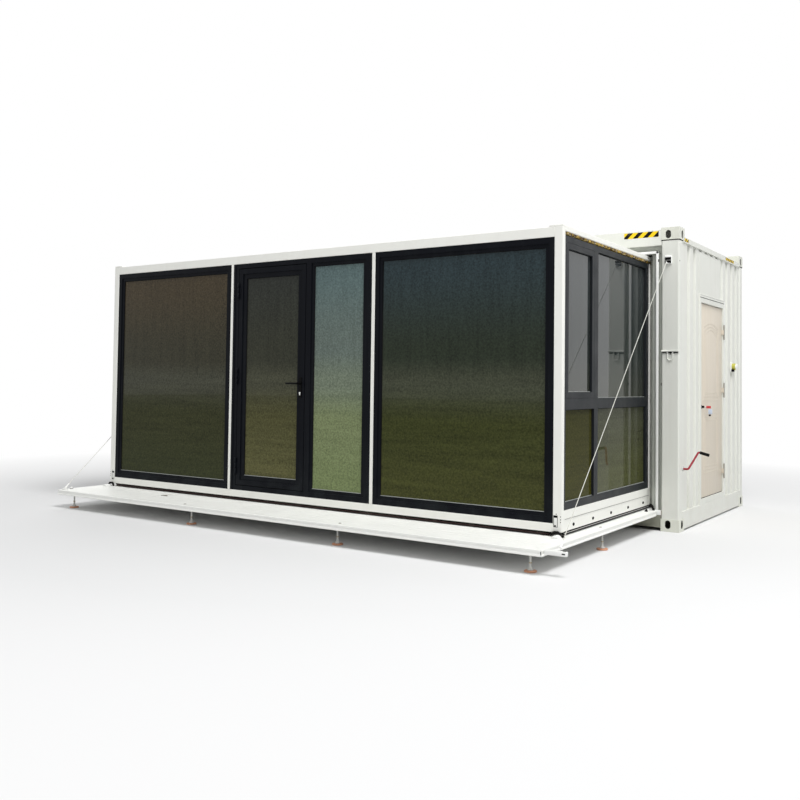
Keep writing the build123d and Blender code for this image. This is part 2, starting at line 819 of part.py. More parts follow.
def build_side_glazing():
    """Four-pane windows in the room's two short sides, one pane a sash."""
    span_y = (room_front + front_post_depth, room_tail - rear_post_depth)
    span_z = (side_rail_top, roof_bottom)
    near = (span_y[0] + frame_outer, span_y[0] + frame_outer + sash_bay)
    far = (near[1] + side_mullion_width, span_y[1] - side_bar)
    low = (span_z[0] + side_foot_bar, transom_bottom)
    high = (transom_bottom + transom_height, span_z[1] - side_head_bar)
    holes = [(near, low), (near, high), (far, low), (far, high)]
    frame = side_plane * block(span_y, span_z, (-frame_depth, 0))
    for hole_y, hole_z in holes:
        frame -= side_plane * block(hole_y, hole_z, (-frame_depth, 0))
    save("side_window_frames", *both_ends(frame))
    sash_y = inset(near, sash_gap)
    sash_z = inset(high, sash_gap)
    pane_y = inset(sash_y, sash_bar)
    pane_z = inset(sash_z, sash_bar)
    sash = side_plane * block(sash_y, sash_z, (-frame_depth, 0))
    sash -= side_plane * block(pane_y, pane_z, (-frame_depth, 0))
    save("side_window_sashes", *both_ends(sash))
    panes = [pane(y, z, side_plane) for y, z in [(near, low), (far, low), (far, high), (pane_y, pane_z)]]
    save("side_window_glass", *[g for p in panes for g in both_ends(p)])


def build_end_door():
    """Plain side door in the container's end, with its hinges and lock."""
    y = inset((doorway_y, doorway_y + doorway_width), leaf_gap)
    z = inset((doorway_sill, doorway_top), leaf_gap)
    face_x = end_face - leaf_recess
    save("end_door_leaf", block((face_x - leaf_thickness, face_x), y, z))
    lock_y = y[0] + lock_backset
    save("end_door_lock", rod((face_x, lock_y, lock_z), (face_x + lock_reach, lock_y, lock_z), lock_radius))
    axis = (end_face + barrel_stand_off, y[1] + leaf_gap / 2)
    plate_back = barrel_stand_off - hinge_plate_thickness
    leaf_side = ((-hinge_plate, 0), (plate_back, barrel_stand_off + leaf_recess))
    frame_side = ((0, hinge_plate), (plate_back, barrel_stand_off))
    heights = [end_hinge_low] + [doorway_top - drop for drop in end_hinge_drops]
    halves = [hinge_halves(z, leaf_side, frame_side) for z in heights]
    place = Plane((axis[0], axis[1], 0), x_dir=(0, 1, 0), z_dir=(0, 0, 1))
    save("end_door_hinges", *[place * leaf_half for leaf_half, frame_half in halves])
    save("casing_hinges", *[place * frame_half for leaf_half, frame_half in halves])
    report_joint("end_door", (axis[0], axis[1], lock_z))


def build_crank():
    """Winding crank on the end wall, with the bearing that carries it."""
    seat = end_face
    bore_start = (seat + crank_bearing_web, crank_y, crank_z)
    bore_end = (seat + crank_bearing_length + cut_margin, crank_y, crank_z)
    bearing_end = (seat + crank_bearing_length, crank_y, crank_z)
    bearing = rod((seat, crank_y, crank_z), bearing_end, crank_bearing_radius)
    bearing -= rod(bore_start, bore_end, crank_wire + crank_clearance)
    save("crank_bearing", bearing)
    start = Vector(seat + crank_bearing_web + crank_clearance, crank_y, crank_z)
    elbow = Vector(half_length + crank_elbow, crank_y, crank_z)
    top = elbow + Vector(*crank_arm)
    end = top + Vector(*crank_grip)
    grip_start = top + Vector(*crank_grip) * grip_offset
    arm = rod(start, elbow, crank_wire) + rod(elbow, top, crank_wire)
    for joint in (elbow, top):
        arm += Pos(joint) * Sphere(crank_wire)
    arm += rod(top, grip_start, crank_wire)
    save("crank_arm", arm)
    save("crank_grip", rod(grip_start, end, grip_radius))
    report_joint("crank", (seat, crank_y, crank_z))


def report_joint(name, point):
    """Print a joint's place in the row's frame, in metres."""
    x, y, z = point
    print(name, round((x - centre_x) / 1000, 5), round((y - centre_y) / 1000, 5), round(z / 1000, 5))


os.makedirs("parts", exist_ok=True)
build_frame()
build_walls()
build_opening()
build_end_doorway()
build_tracks()
build_deck()
build_stays()
build_lashing_bars()
build_room_shell()
build_rollers()
build_front_glazing()
build_front_door()
build_side_glazing()
build_end_door()
build_crank()
print("centre", round(centre_x, 2), round(centre_y, 2))
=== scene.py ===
import json
import math
import bmesh
import bpy
from mathutils import Matrix, Vector

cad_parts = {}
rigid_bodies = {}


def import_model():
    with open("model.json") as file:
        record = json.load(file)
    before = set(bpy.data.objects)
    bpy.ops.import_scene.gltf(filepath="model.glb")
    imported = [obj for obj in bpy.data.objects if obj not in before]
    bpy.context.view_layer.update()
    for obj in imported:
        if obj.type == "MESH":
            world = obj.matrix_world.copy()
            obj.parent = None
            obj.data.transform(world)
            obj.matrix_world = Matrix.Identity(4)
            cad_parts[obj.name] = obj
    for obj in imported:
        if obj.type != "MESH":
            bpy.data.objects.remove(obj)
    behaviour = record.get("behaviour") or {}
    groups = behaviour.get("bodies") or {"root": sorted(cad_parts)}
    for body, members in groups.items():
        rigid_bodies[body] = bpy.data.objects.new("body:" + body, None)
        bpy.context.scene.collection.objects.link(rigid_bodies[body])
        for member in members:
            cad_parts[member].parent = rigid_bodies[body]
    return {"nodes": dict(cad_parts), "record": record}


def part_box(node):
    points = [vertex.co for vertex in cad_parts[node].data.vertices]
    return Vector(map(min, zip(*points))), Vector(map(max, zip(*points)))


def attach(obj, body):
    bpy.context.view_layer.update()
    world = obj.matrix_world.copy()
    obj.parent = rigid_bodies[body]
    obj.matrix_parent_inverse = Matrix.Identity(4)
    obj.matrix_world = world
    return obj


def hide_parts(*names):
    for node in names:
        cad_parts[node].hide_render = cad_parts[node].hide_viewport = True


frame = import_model()
nodes = frame["nodes"]
bodies = frame["record"]["behaviour"]["bodies"]
bodyOf = {name: body for body, members in bodies.items() for name in members}
slotOf = {part["node"]: part["material_slot"] for part in frame["record"]["subparts"]}
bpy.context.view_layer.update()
print("frame loaded,", len(nodes), "nodes")

# the cabin's own zero: middle of the container's length, its front face, the ground
castingLow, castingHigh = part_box("lower_corner_castings")
cabinZero = Vector(((castingLow.x + castingHigh.x) / 2, castingLow.y, 0))


def at(x, y, z):
    return cabinZero + Vector((x, y, z))


sunk = 0.001            # how far a fitting is let into what carries it
thin = (0.0003, 1)      # edge width and segments of lines and stripes


# side -1: the same places on the left
def atX(*places, side=1):
    return [cabinZero.x + side * x for x in places]


def atY(*places):
    return [cabinZero.y + y for y in places]


# camera, at eye height off the cabin's front right corner
cameraSettings = dict(
    place=(5.48976, -8.44066, 1.37608),
    heading=34.1,       # degrees left of +Y
    rise=1.99,
    roll=0.72,
    focal=40.41,
    shift=-0.0605,
)


def makeCamera(s):
    heading, rise, roll = (math.radians(s[k]) for k in ("heading", "rise", "roll"))
    ahead = Vector((-math.sin(heading) * math.cos(rise), math.cos(heading) * math.cos(rise), math.sin(rise)))
    side = Vector((math.cos(heading), math.sin(heading), 0))
    top = side.cross(ahead)
    right = side * math.cos(roll) + top * math.sin(roll)
    up = top * math.cos(roll) - side * math.sin(roll)
    data = bpy.data.cameras.new("camera")
    data.lens = s["focal"]
    data.shift_y = s["shift"]
    data.clip_end = 300
    camera = bpy.data.objects.new("camera", data)
    bpy.context.scene.collection.objects.link(camera)
    turn = Matrix((right, up, -ahead)).transposed().to_4x4()
    camera.matrix_world = Matrix.Translation(s["place"]) @ turn
    bpy.context.scene.camera = camera


makeCamera(cameraSettings)
bpy.context.scene.view_settings.view_transform = "Standard"
print("camera set")

# light: an even pale surround, one broad soft lamp and a weak one from behind
lightSettings = dict(
    surround=(0.56, 0.565, 0.57),
    keyPlace=(6.5, -4.1, 12.3),
    keyPower=1480,
    keySize=5.5,
    backPlace=(-9.0, 9.0, 8.0),
    backPower=350,
    backSize=8.0,
    aim=(0.0, 0.0, 1.2),
    backdrop=1.0,
)


# any node tree: a socket is linked, or set where a plain value is given
class Tree:
    def __init__(self, tree):
        self.tree = tree

    def link(self, source, target):
        if hasattr(source, "links"):
            self.tree.links.new(source, target)
        else:
            target.default_value = source

    def node(self, kind, sockets=(), **settings):
        made = self.tree.nodes.new(kind)
        for key, value in settings.items():
            setattr(made, key, value)
        for key, value in dict(sockets).items():
            self.link(value, made.inputs[key])
        return made

    def math(self, operation, a, b=0.0):
        return self.node("ShaderNodeMath", {0: a, 1: b}, operation=operation).outputs[0]


def makeWorld(s):
    world = bpy.data.worlds.new("studio")
    bpy.context.scene.world = world
    world.use_nodes = True
    g = Tree(world.node_tree)
    g.tree.nodes.clear()
    light = g.node("ShaderNodeBackground", {"Color": (*s["surround"], 1)})
    back = g.node("ShaderNodeBackground", {"Color": (1, 1, 1, 1), "Strength": s["backdrop"]})
    rays = g.node("ShaderNodeLightPath").outputs
    direct = g.math("MAXIMUM", rays["Is Camera Ray"], rays["Is Glossy Ray"])
    direct = g.math("MAXIMUM", direct, rays["Is Transmission Ray"])
    mix = g.node("ShaderNodeMixShader", {0: direct, 1: light.outputs[0], 2: back.outputs[0]})
    g.link(mix.outputs[0], g.node("ShaderNodeOutputWorld").inputs[0])


def makeLamp(name, place, power, size, aim):
    data = bpy.data.lights.new(name, "AREA")
    data.energy = power
    data.size = size
    lamp = bpy.data.objects.new(name, data)
    bpy.context.scene.collection.objects.link(lamp)
    lamp.location = place
    lamp.rotation_euler = (Vector(aim) - Vector(place)).to_track_quat("-Z", "Y").to_euler()


makeWorld(lightSettings)
for name in ("key", "back"):
    place, power, size = (lightSettings[name + k] for k in ("Place", "Power", "Size"))
    makeLamp(name + "_lamp", place, power, size, lightSettings["aim"])
print("light set")


# materials are built from a few small helpers, in Object coordinates (metres)
class Graph(Tree):
    def __init__(self, name):
        self.material = bpy.data.materials.new(name)
        self.material.use_nodes = True
        super().__init__(self.material.node_tree)
        self.shader = self.tree.nodes["Principled BSDF"]
        self.place = self.node("ShaderNodeTexCoord").outputs["Object"]

    def stretched(self, scale):
        return self.node("ShaderNodeMapping", {"Vector": self.place, "Scale": scale}).outputs[0]

    def noise(self, scale, detail=4, rough=0.55, where=None):
        sockets = {"Vector": where or self.place, "Scale": scale, "Detail": detail, "Roughness": rough}
        return self.node("ShaderNodeTexNoise", sockets).outputs["Fac"]

    def ramp(self, value, start, end, low=0.0, high=1.0):
        sockets = {"Value": value, "From Min": start, "From Max": end, "To Min": low, "To Max": high}
        return self.node("ShaderNodeMapRange", sockets).outputs[0]

    def mix(self, share, a, b):
        made = self.node("ShaderNodeMix", data_type="RGBA")
        self.link(share, made.inputs["Factor"])
        for value, key in ((a, "A"), (b, "B")):
            socket = [i for i in made.inputs if i.name == key and i.type == "RGBA"][0]
            self.link(value if hasattr(value, "links") else (*value, 1), socket)
        return [o for o in made.outputs if o.type == "RGBA"][0]

    # colours by height, as (z, colour) pairs from the lowest up
    def bands(self, value, stops):
        low, high = stops[0][0], stops[-1][0]
        made = self.node("ShaderNodeValToRGB", {"Fac": self.ramp(value, low, high)})
        ramp = made.color_ramp
        ramp.interpolation = "EASE"
        while len(ramp.elements) < len(stops):
            ramp.elements.new(0.5)
        for element, (z, colour) in zip(ramp.elements, stops):
            element.position = (z - low) / (high - low)
            element.color = (*colour, 1)
        return made.outputs["Color"]

    def scaled(self, colour, value):
        return self.node("ShaderNodeHueSaturation", {"Color": colour, "Value": value}).outputs[0]

    def axis(self, letter):
        return self.node("ShaderNodeSeparateXYZ", {"Vector": self.place}).outputs[letter]

    def near(self, point, start, end):
        far = self.node("ShaderNodeVectorMath", {0: self.place, 1: tuple(point)}, operation="DISTANCE")
        return self.ramp(far.outputs["Value"], start, end, 1.0, 0.0)

    def bump(self, height, strength, distance=0.001):
        sockets = {"Height": height, "Strength": strength, "Distance": distance}
        self.link(self.node("ShaderNodeBump", sockets).outputs[0], self.shader.inputs["Normal"])

    def set(self, **values):
        for key, value in values.items():
            self.link(value, self.shader.inputs[key.replace("_", " ")])


# sprayed paint with faint clouds, rain streaks, dust near the ground, chips and a few stains
def paint(
    name, colour, dirt=(0.50, 0.47, 0.40), amount=0.25, rough=0.42, chips=0.0, low=None, stains=(), ior=1.5
):
    g = Graph(name)
    cloud = g.noise(1.3, 5)
    streak = g.noise(1.0, 6, 0.6, g.stretched((14, 14, 0.7)))
    grime = g.math("MULTIPLY", g.ramp(streak, 0.48, 0.78), g.ramp(cloud, 0.35, 0.75))
    if low:
        close = g.ramp(g.axis("Z"), low[0], low[1], 1.0, 0.0)
        grime = g.math("ADD", grime, g.math("MULTIPLY", close, g.ramp(g.noise(7, 6), 0.35, 0.8)))
    shade = g.mix(g.ramp(cloud, 0.3, 0.7), [c * 0.965 for c in colour], colour)
    shade = g.mix(g.math("MULTIPLY", grime, amount), shade, dirt)
    gloss = g.ramp(g.noise(5, 4), 0.3, 0.7, rough - 0.06, rough + 0.1)
    for point, reach, stain in stains:
        patch = g.math("MULTIPLY", g.near(point, reach * 0.2, reach), g.ramp(g.noise(60, 4, 0.7), 0.42, 0.55))
        shade = g.mix(patch, shade, stain)
    if chips:
        spots = g.ramp(g.noise(38, 3, 0.7), 0.80 - chips, 0.83 - chips)
        shade = g.mix(spots, shade, (0.16, 0.075, 0.035))
        gloss = g.math("ADD", gloss, g.math("MULTIPLY", spots, 0.3))
    g.set(Base_Color=shade, Roughness=gloss, IOR=ior)
    g.bump(g.noise(420, 2), 0.12, 0.0006)
    return g.material


# tinted glass, its tone painted as reflection: the colour goes by height, with a fine mottle, upright streaks
# above and level ones below, all painted reflection over a dark tint
def glass(name, stops, mottle, fine, clear, ior, rough, turnAt=1.42):
    g = Graph(name)
    height = g.axis("Z")
    trunk = g.noise(1.0, 5, 0.65, g.stretched((16, 16, 1.6)))
    field = g.noise(1.0, 5, 0.6, g.stretched((1.4, 1.4, 22)))
    # above turnAt the painted reflection runs in upright streaks, below it in level ones
    upper = g.ramp(height, turnAt - 0.06, turnAt + 0.10)
    lower = g.math("SUBTRACT", 1.0, upper)
    broad = g.math("ADD", g.math("MULTIPLY", trunk, upper), g.math("MULTIPLY", field, lower))
    speck = g.noise(58, 4, 0.75)
    change = g.math("ADD", g.ramp(broad, 0.3, 0.7, -mottle, mottle), g.ramp(speck, 0.3, 0.7, -fine, fine))
    shade = g.scaled(g.bands(height, stops), g.math("ADD", 1.0, change))
    g.set(Base_Color=shade, IOR=ior, Roughness=rough, Transmission_Weight=clear)
    return g.material


def stripes(name, along, pitch, lean, yellow, black):
    g = Graph(name)
    run = g.math("ADD", g.axis(along), g.math("MULTIPLY", g.axis("Z"), lean))
    turn = g.math("FRACT", g.math("DIVIDE", run, pitch))
    worn = g.math("ADD", turn, g.ramp(g.noise(90, 4), 0.3, 0.7, -0.02, 0.02))
    shade = g.mix(g.math("GREATER_THAN", worn, 0.5), yellow, black)
    shade = g.mix(g.ramp(g.noise(24, 5), 0.55, 0.8, 0, 0.12), shade, (0.6, 0.58, 0.5))
    g.set(Base_Color=shade, Roughness=0.45, IOR=1.2)
    return g.material


def wood(name, colour, dark, across, along, rough, depth=0.8):
    g = Graph(name)
    grain = g.noise(1.0, 6, 0.6, g.stretched((across, across, along)))
    fine = g.noise(1.0, 3, 0.6, g.stretched((across * 9, across * 9, along * 4)))
    shade = g.mix(g.ramp(grain, 0.4, 0.72, 0, depth), colour, dark)
    shade = g.mix(g.ramp(fine, 0.5, 0.8, 0, 0.25), shade, dark)
    g.set(Base_Color=shade, Roughness=g.ramp(grain, 0.3, 0.7, rough, rough + 0.12))
    g.bump(fine, 0.15, 0.0005)
    return g.material


# cut foam edge: golden, with dark torn pits
def foam(name, colour, dark):
    g = Graph(name)
    torn = g.math("ADD", g.noise(26, 4, 0.7), g.math("MULTIPLY", g.noise(120, 3, 0.7), 0.5))
    shade = g.mix(g.ramp(torn, 0.70, 0.80), colour, dark)
    shade = g.mix(g.ramp(g.noise(44, 3, 0.7), 0.56, 0.62), shade, (0.75, 0.74, 0.70))
    g.set(Base_Color=shade, Roughness=0.85, IOR=1.25)
    g.bump(torn, 0.6, 0.002)
    return g.material


rust, grime = (0.20, 0.085, 0.035), (0.3, 0.28, 0.24)
paints = dict(
    container_white=dict(colour=(0.735, 0.745, 0.69), low=(0.0, 0.6)),
    casting_white=dict(colour=(0.69, 0.70, 0.62), amount=0.5, chips=0.1),
    # the underframe's grey paint, made darker as painted shade for where it sits under the deck
    underframe_grey=dict(colour=(0.24, 0.24, 0.19), amount=0.4),
    opening_grey=dict(colour=(0.50, 0.52, 0.475)),
    deck_white=dict(
        colour=(0.915, 0.92, 0.88), amount=0.2,
        stains=((at(2.575, -1.93, 0.19), 0.07, rust), (at(-1.6, -2.1, 0.19), 0.05, grime)),
    ),
    galvanised=dict(colour=(0.58, 0.585, 0.56), rough=0.4),
    pad_terracotta=dict(colour=(0.62, 0.30, 0.18), rough=0.7),
    stay_wire=dict(colour=(0.66, 0.66, 0.60), rough=0.5),
    room_white=dict(colour=(0.875, 0.875, 0.825), amount=0.15),
    seal_rubber=dict(colour=(0.008, 0.007, 0.007), amount=0.1, rough=0.7, ior=1.18),
    frame_charcoal=dict(
        colour=(0.0036, 0.0044, 0.0068), dirt=(0.022, 0.026, 0.028), amount=0.5, rough=0.36,
        low=(0.3, 0.75), ior=1.16,
    ),
    handle_black=dict(colour=(0.003, 0.003, 0.003), amount=0.02, rough=0.35, ior=1.15),
    hinge_steel=dict(colour=(0.22, 0.20, 0.17), rough=0.4, ior=1.2),
    crank_red=dict(colour=(0.28, 0.002, 0.018), amount=0.05, rough=0.35, ior=1.3),
    grip_black=dict(colour=(0.006, 0.006, 0.006), amount=0.05, rough=0.6, ior=1.18),
    # the rest are no slot's own
    # the side windows' frames: a lighter copy of the charcoal frame paint, painted light on the frames that
    # face the light
    side_frame=dict(
        colour=(0.0125, 0.015, 0.018), dirt=(0.03, 0.03, 0.028), amount=0.3, rough=0.36, ior=1.25
    ),
    # near black and dark grey for the insides of the castings' pockets and the tops of the wall's valleys:
    # painted shade
    pocket_dark=dict(colour=(0.010, 0.009, 0.008), amount=0.1, rough=0.8, ior=1.15),
    pocket_grey=dict(colour=(0.20, 0.20, 0.18), amount=0.3, rough=0.8, ior=1.2),
    pane_gasket=dict(colour=(0.006, 0.006, 0.006), amount=0.1, rough=0.6, ior=1.18),
    # light grey strip at each pane's foot: painted highlight of the ledge under the glass
    pane_bead=dict(colour=(0.42, 0.44, 0.42), rough=0.4),
    seal_brown=dict(colour=(0.040, 0.018, 0.016), amount=0.1, rough=0.7, ior=1.3),
    # grey for the seals' bands and lines, and for the painted shadow line under the rail covers
    seal_grey=dict(colour=(0.30, 0.30, 0.29), rough=0.6),
    # near black for dark marks, and for painted shade: slot, gap and recess shadows
    mark_dark=dict(colour=(0.004, 0.004, 0.004), amount=0.02, rough=0.6, ior=1.15),
    # white for plates and trims, and for the painted highlight at the end door casing's edge
    plate_white=dict(colour=(0.88, 0.885, 0.86), amount=0.08),
    socket_green=dict(colour=(0.50, 0.47, 0.07), amount=0.1, rough=0.45),
    nut_beige=dict(colour=(0.42, 0.34, 0.22), rough=0.4),
    key_steel=dict(colour=(0.75, 0.76, 0.74), rough=0.25),
    fob_red=dict(colour=(0.55, 0.03, 0.04), rough=0.4),
    tag_blue=dict(colour=(0.55, 0.62, 0.75), rough=0.5),
)
materials = {name: paint(name, **values) for name, values in paints.items()}
materials.update(
    floor_ply=wood("floor_ply", (0.40, 0.29, 0.18), (0.25, 0.16, 0.09), 6, 3, 0.45),
    room_floor_board=wood("room_floor_board", (0.33, 0.27, 0.21), (0.22, 0.17, 0.12), 4, 4, 0.5),
    door_beige=wood("door_beige", (0.675, 0.61, 0.51), (0.60, 0.535, 0.43), 55, 2.2, 0.42, 0.45),
    foam_yellow=foam("foam_yellow", (0.80, 0.56, 0.13), (0.09, 0.05, 0.02)),
    tinted_glass=glass(
        "tinted_glass", ((0.3, (0.02, 0.025, 0.012)), (2.6, (0.02, 0.024, 0.02))), 0.2, 0.2, 0.3, 1.3, 0.02
    ),
)
print("materials made")


# look: the names of the piece's materials, by index
def meshPiece(name, mesh, look, body, replaces=None):
    piece = bpy.data.objects.new(name, mesh)
    bpy.context.scene.collection.objects.link(piece)
    if not len(mesh.materials):
        for key in look.split():
            mesh.materials.append(materials[key])
    if body:
        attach(piece, body)
    if replaces:
        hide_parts(replaces)
    return piece


# a mesh that stands for a CAD node, in the node's own look unless another is given
def standFor(node, name, mesh, look=None):
    return meshPiece(name, mesh, look or slotOf[node], bodyOf[node], node)


# the softened edges of a part, or of some of them
def easeEdges(part, edges, width, segments, **more):
    made = bmesh.ops.bevel(
        part, geom=edges, offset=width, segments=segments, profile=0.5, affect="EDGES",
        clamp_overlap=True, **more
    )
    for face in made["faces"]:
        face.smooth = True


def joined(parts, name):
    mesh = bpy.data.meshes.new(name)
    parts.to_mesh(mesh)
    parts.free()
    return mesh


# rings of an outline (across, out) swept along a flat path, square at its corners
def mitred(points, normal, outline, closed=True):
    rings = []
    last = len(points) - 1
    for i, point in enumerate(points):
        before = (point - points[i - 1]).normalized() if closed or i else None
        after = (points[(i + 1) % len(points)] - point).normalized() if closed or i < last else None
        before = after if before is None else before
        after = before if after is None else after
        first, second = normal.cross(before), normal.cross(after)
        side = (first + second).normalized()
        side /= max(side.dot(first), 0.2)
        rings.append([point + side * across + normal * out for across, out in outline])
    return rings


# rings of a round tube along a path
def tubeRings(points, radius, count=12):
    rings = []
    last = len(points) - 1
    side = None
    for i, point in enumerate(points):
        ahead = (points[min(i + 1, last)] - points[max(i - 1, 0)]).normalized()
        if side is None:
            side = ahead.orthogonal()
        side = (side - ahead * side.dot(ahead)).normalized()
        up = ahead.cross(side)
        size = radius[i] if isinstance(radius, (list, tuple)) else radius
        turns = [2 * math.pi * k / count for k in range(count)]
        rings.append([point + (side * math.cos(t) + up * math.sin(t)) * size for t in turns])
    return rings


# a path with its corners rounded
def rounded(points, radius, steps=6):
    path = [points[0]]
    for before, corner, after in zip(points, points[1:], points[2:]):
        a, b = (before - corner).normalized(), (after - corner).normalized()
        start, end = corner + a * radius, corner + b * radius
        for k in range(steps + 1):
            t = k / steps
            path.append(start * (1 - t) ** 2 + corner * 2 * t * (1 - t) + end * t ** 2)
    return path + [points[-1]]


# how plain meshes are cleaned and shaded, with angles in degrees
meshSettings = dict(
    weld=2e-5,          # corners closer than this are one
    flat=0.3,           # faces that turn less than this are one
    gentle=1,           # a CAD edge that turns more is shaded smooth
    sharp=32,           # and one that turns more than this is eased
    crease=38,          # an edge of a shape that turns more stays sharp
    margin=0.004,       # how far within its solid's box a face has to lie to be an inner one
)


class Shape:
    def __init__(self):
        self.whole = bmesh.new()

    def add(self, part, index):
        for face in part.faces:
            face.material_index = index
        bmesh.ops.recalc_face_normals(part, faces=part.faces)
        scratch = bpy.data.meshes.new("scratch")
        part.to_mesh(scratch)
        part.free()
        self.whole.from_mesh(scratch)
        bpy.data.meshes.remove(scratch)
        return self

    # a block between each axis's two ends, given in any order
    def box(self, xs, ys, zs, width=0.0015, segments=2, index=0):
        part = bmesh.new()
        ends = [sorted(pair) for pair in (xs, ys, zs)]
        for v in bmesh.ops.create_cube(part, size=1)["verts"]:
            v.co = Vector([a + (v.co[i] + 0.5) * (b - a) for i, (a, b) in enumerate(ends)])
        easeEdges(part, part.edges[:], width, segments)
        return self.add(part, index)

    def loft(self, rings, closed=False, index=0, smooth=True):
        part = bmesh.new()
        rows = [[part.verts.new(p) for p in ring] for ring in rings]
        count = len(rows[0])
        pairs = list(zip(rows, rows[1:])) + ([(rows[-1], rows[0])] if closed else [])
        for a, b in pairs:
            for i in range(count):
                j = (i + 1) % count
                part.faces.new((a[i], a[j], b[j], b[i]))
        if not closed:
            part.faces.new(rows[0][::-1])
            part.faces.new(rows[-1])
        for face in part.faces:
            face.smooth = smooth
        return self.add(part, index)

    # profile is (radius, along) pairs from one end to the other
    def turned(self, base, axis, profile, count=24, index=0):
        axis = Vector(axis).normalized()
        side = axis.orthogonal().normalized()
        up = axis.cross(side)
        turns = [2 * math.pi * k / count for k in range(count)]
        rings = []
        for radius, along in profile:
            middle = base + axis * along
            rings.append([middle + (side * math.cos(t) + up * math.sin(t)) * radius for t in turns])
        return self.loft(rings, index=index)

    def tube(self, points, radius, count=12, index=0):
        return self.loft(tubeRings(points, radius, count), index=index)

    def prism(self, outline, push, width):
        part = bmesh.new()
        near = [part.verts.new(p) for p in outline]
        far = [part.verts.new(p + push) for p in outline]
        part.faces.new(near)
        part.faces.new(far[::-1])
        for i in range(len(outline)):
            j = (i + 1) % len(outline)
            part.faces.new((near[i], near[j], far[j], far[i]))
        easeEdges(part, part.edges[:], width, 2)
        return self.add(part, 0)

    def finish(self, name, look, body, slot=None, replaces=None):
        mesh = joined(self.whole, name)
        mesh.set_sharp_from_angle(angle=math.radians(meshSettings["crease"]))
        return meshPiece(name, mesh, look, body, replaces)

    def standFor(self, node, name, look=None):
        return self.finish(name, look or slotOf[node], bodyOf[node], slotOf[node], node)


def welded(name):
    b = bmesh.new()
    b.from_mesh(nodes[name].data)
    bmesh.ops.remove_doubles(b, verts=b.verts, dist=meshSettings["weld"])
    return b


# corner boxes of the separate solids in a CAD node
def solidBoxes(name):
    b = welded(name)
    seen = set()
    boxes = []
    for start in b.verts:
        if start in seen:
            continue
        seen.add(start)
        waiting, places = [start], []
        while waiting:
            v = waiting.pop()
            places.append(v.co.copy())
            for e in v.link_edges:
                other = e.other_vert(v)
                if other not in seen:
                    seen.add(other)
                    waiting.append(other)
        low = Vector([min(p[i] for p in places) for i in range(3)])
        high = Vector([max(p[i] for p in places) for i in range(3)])
        boxes.append((low, high))
    b.free()
    return sorted(boxes, key=lambda box: tuple(box[0]))


# the middle of a box's underside
def footOf(low, high):
    return Vector(((low.x + high.x) / 2, (low.y + high.y) / 2, low.z))


# a softened copy of a CAD node, which stands for it
# onlyAlong: the one axis eased; inside: the material of what lies within its solids' boxes
def refine(name, width, segments=2, onlyAlong=None, inside=""):
    b = welded(name)
    flat, gentle, sharp = (math.radians(meshSettings[key]) for key in ("flat", "gentle", "sharp"))
    bmesh.ops.dissolve_limit(b, angle_limit=flat, verts=b.verts, edges=b.edges)
    turned = [(e, e.calc_face_angle(0)) for e in b.edges]
    for face in b.faces:
        face.smooth = False
    for edge, angle in turned:
        if gentle < angle < sharp:
            for face in edge.link_faces:
                face.smooth = True
    picked = [e for e, angle in turned if angle >= sharp]
    if onlyAlong is not None:
        picked = [e for e in picked if abs((e.verts[0].co - e.verts[1].co).normalized()[onlyAlong]) > 0.99]
    if inside:
        boxes, margin = solidBoxes(name), meshSettings["margin"]
        for face in b.faces:
            p = face.calc_center_median()
            if any(all(low[i] + margin < p[i] < high[i] - margin for i in range(3)) for low, high in boxes):
                face.material_index = 1
    easeEdges(b, picked, width, segments, material=-1)
    # the side windows' frames take the lighter, painted-light copy of the frame paint
    look = ("side_frame" if name.startswith("side_window") else slotOf[name]) + " " + inside
    return standFor(name, name + "_finished", joined(b, name + "_soft"), look)


# Geometry Nodes trees, with named inputs and a Set Material at the end
class Growth(Tree):
    def __init__(self, name, inputs):
        super().__init__(bpy.data.node_groups.new(name, "GeometryNodeTree"))
        self.ids = {}
        kinds = {"f": "Float", "i": "Int", "v": "Vector", "m": "Material"}
        for label, kind in {**inputs, "Material": "m"}.items():
            kind = "NodeSocket" + kinds[kind]
            made = self.tree.interface.new_socket(name=label, in_out="INPUT", socket_type=kind)
            self.ids[label] = made.identifier
        self.tree.interface.new_socket(name="Geometry", in_out="OUTPUT", socket_type="NodeSocketGeometry")
        self.inputs = self.node("NodeGroupInput").outputs

    # a word stands for the tree's own input of that name
    def link(self, source, target):
        super().link(self.inputs[source] if isinstance(source, str) else source, target)

    def step(self, kind, sockets=(), **settings):
        return self.node(kind, sockets, **settings).outputs[0]

    def vector(self, x, y, z):
        return self.step("ShaderNodeCombineXYZ", {"X": x, "Y": y, "Z": z})

    def close(self, geometry):
        real = self.step("GeometryNodeRealizeInstances", {"Geometry": geometry})
        soft = self.step("GeometryNodeSetShadeSmooth", {"Geometry": real, "Shade Smooth": True})
        done = self.step("GeometryNodeSetMaterial", {"Geometry": soft, "Material": "Material"})
        self.link(done, self.node("NodeGroupOutput").inputs[0])
        return self

    # the plain mesh that the tree makes with these values
    def grow(self, name, look, sharp=60, **values):
        material = materials[look]
        maker = bpy.data.objects.new(name + "_maker", bpy.data.meshes.new(name + "_maker"))
        bpy.context.scene.collection.objects.link(maker)
        modifier = maker.modifiers.new("growth", "NODES")
        modifier.node_group = self.tree
        for label, value in {**values, "Material": material}.items():
            modifier[self.ids[label]] = value
        bpy.context.view_layer.update()
        ready = maker.evaluated_get(bpy.context.evaluated_depsgraph_get())
        mesh = bpy.data.meshes.new_from_object(ready)
        maker.modifiers.clear()
        bpy.data.objects.remove(maker)
        mesh.name = name
        mesh.materials.clear()
        mesh.materials.append(material)
        mesh.polygons.foreach_set("material_index", [0] * len(mesh.polygons))
        mesh.set_sharp_from_angle(angle=math.radians(sharp))
        return mesh


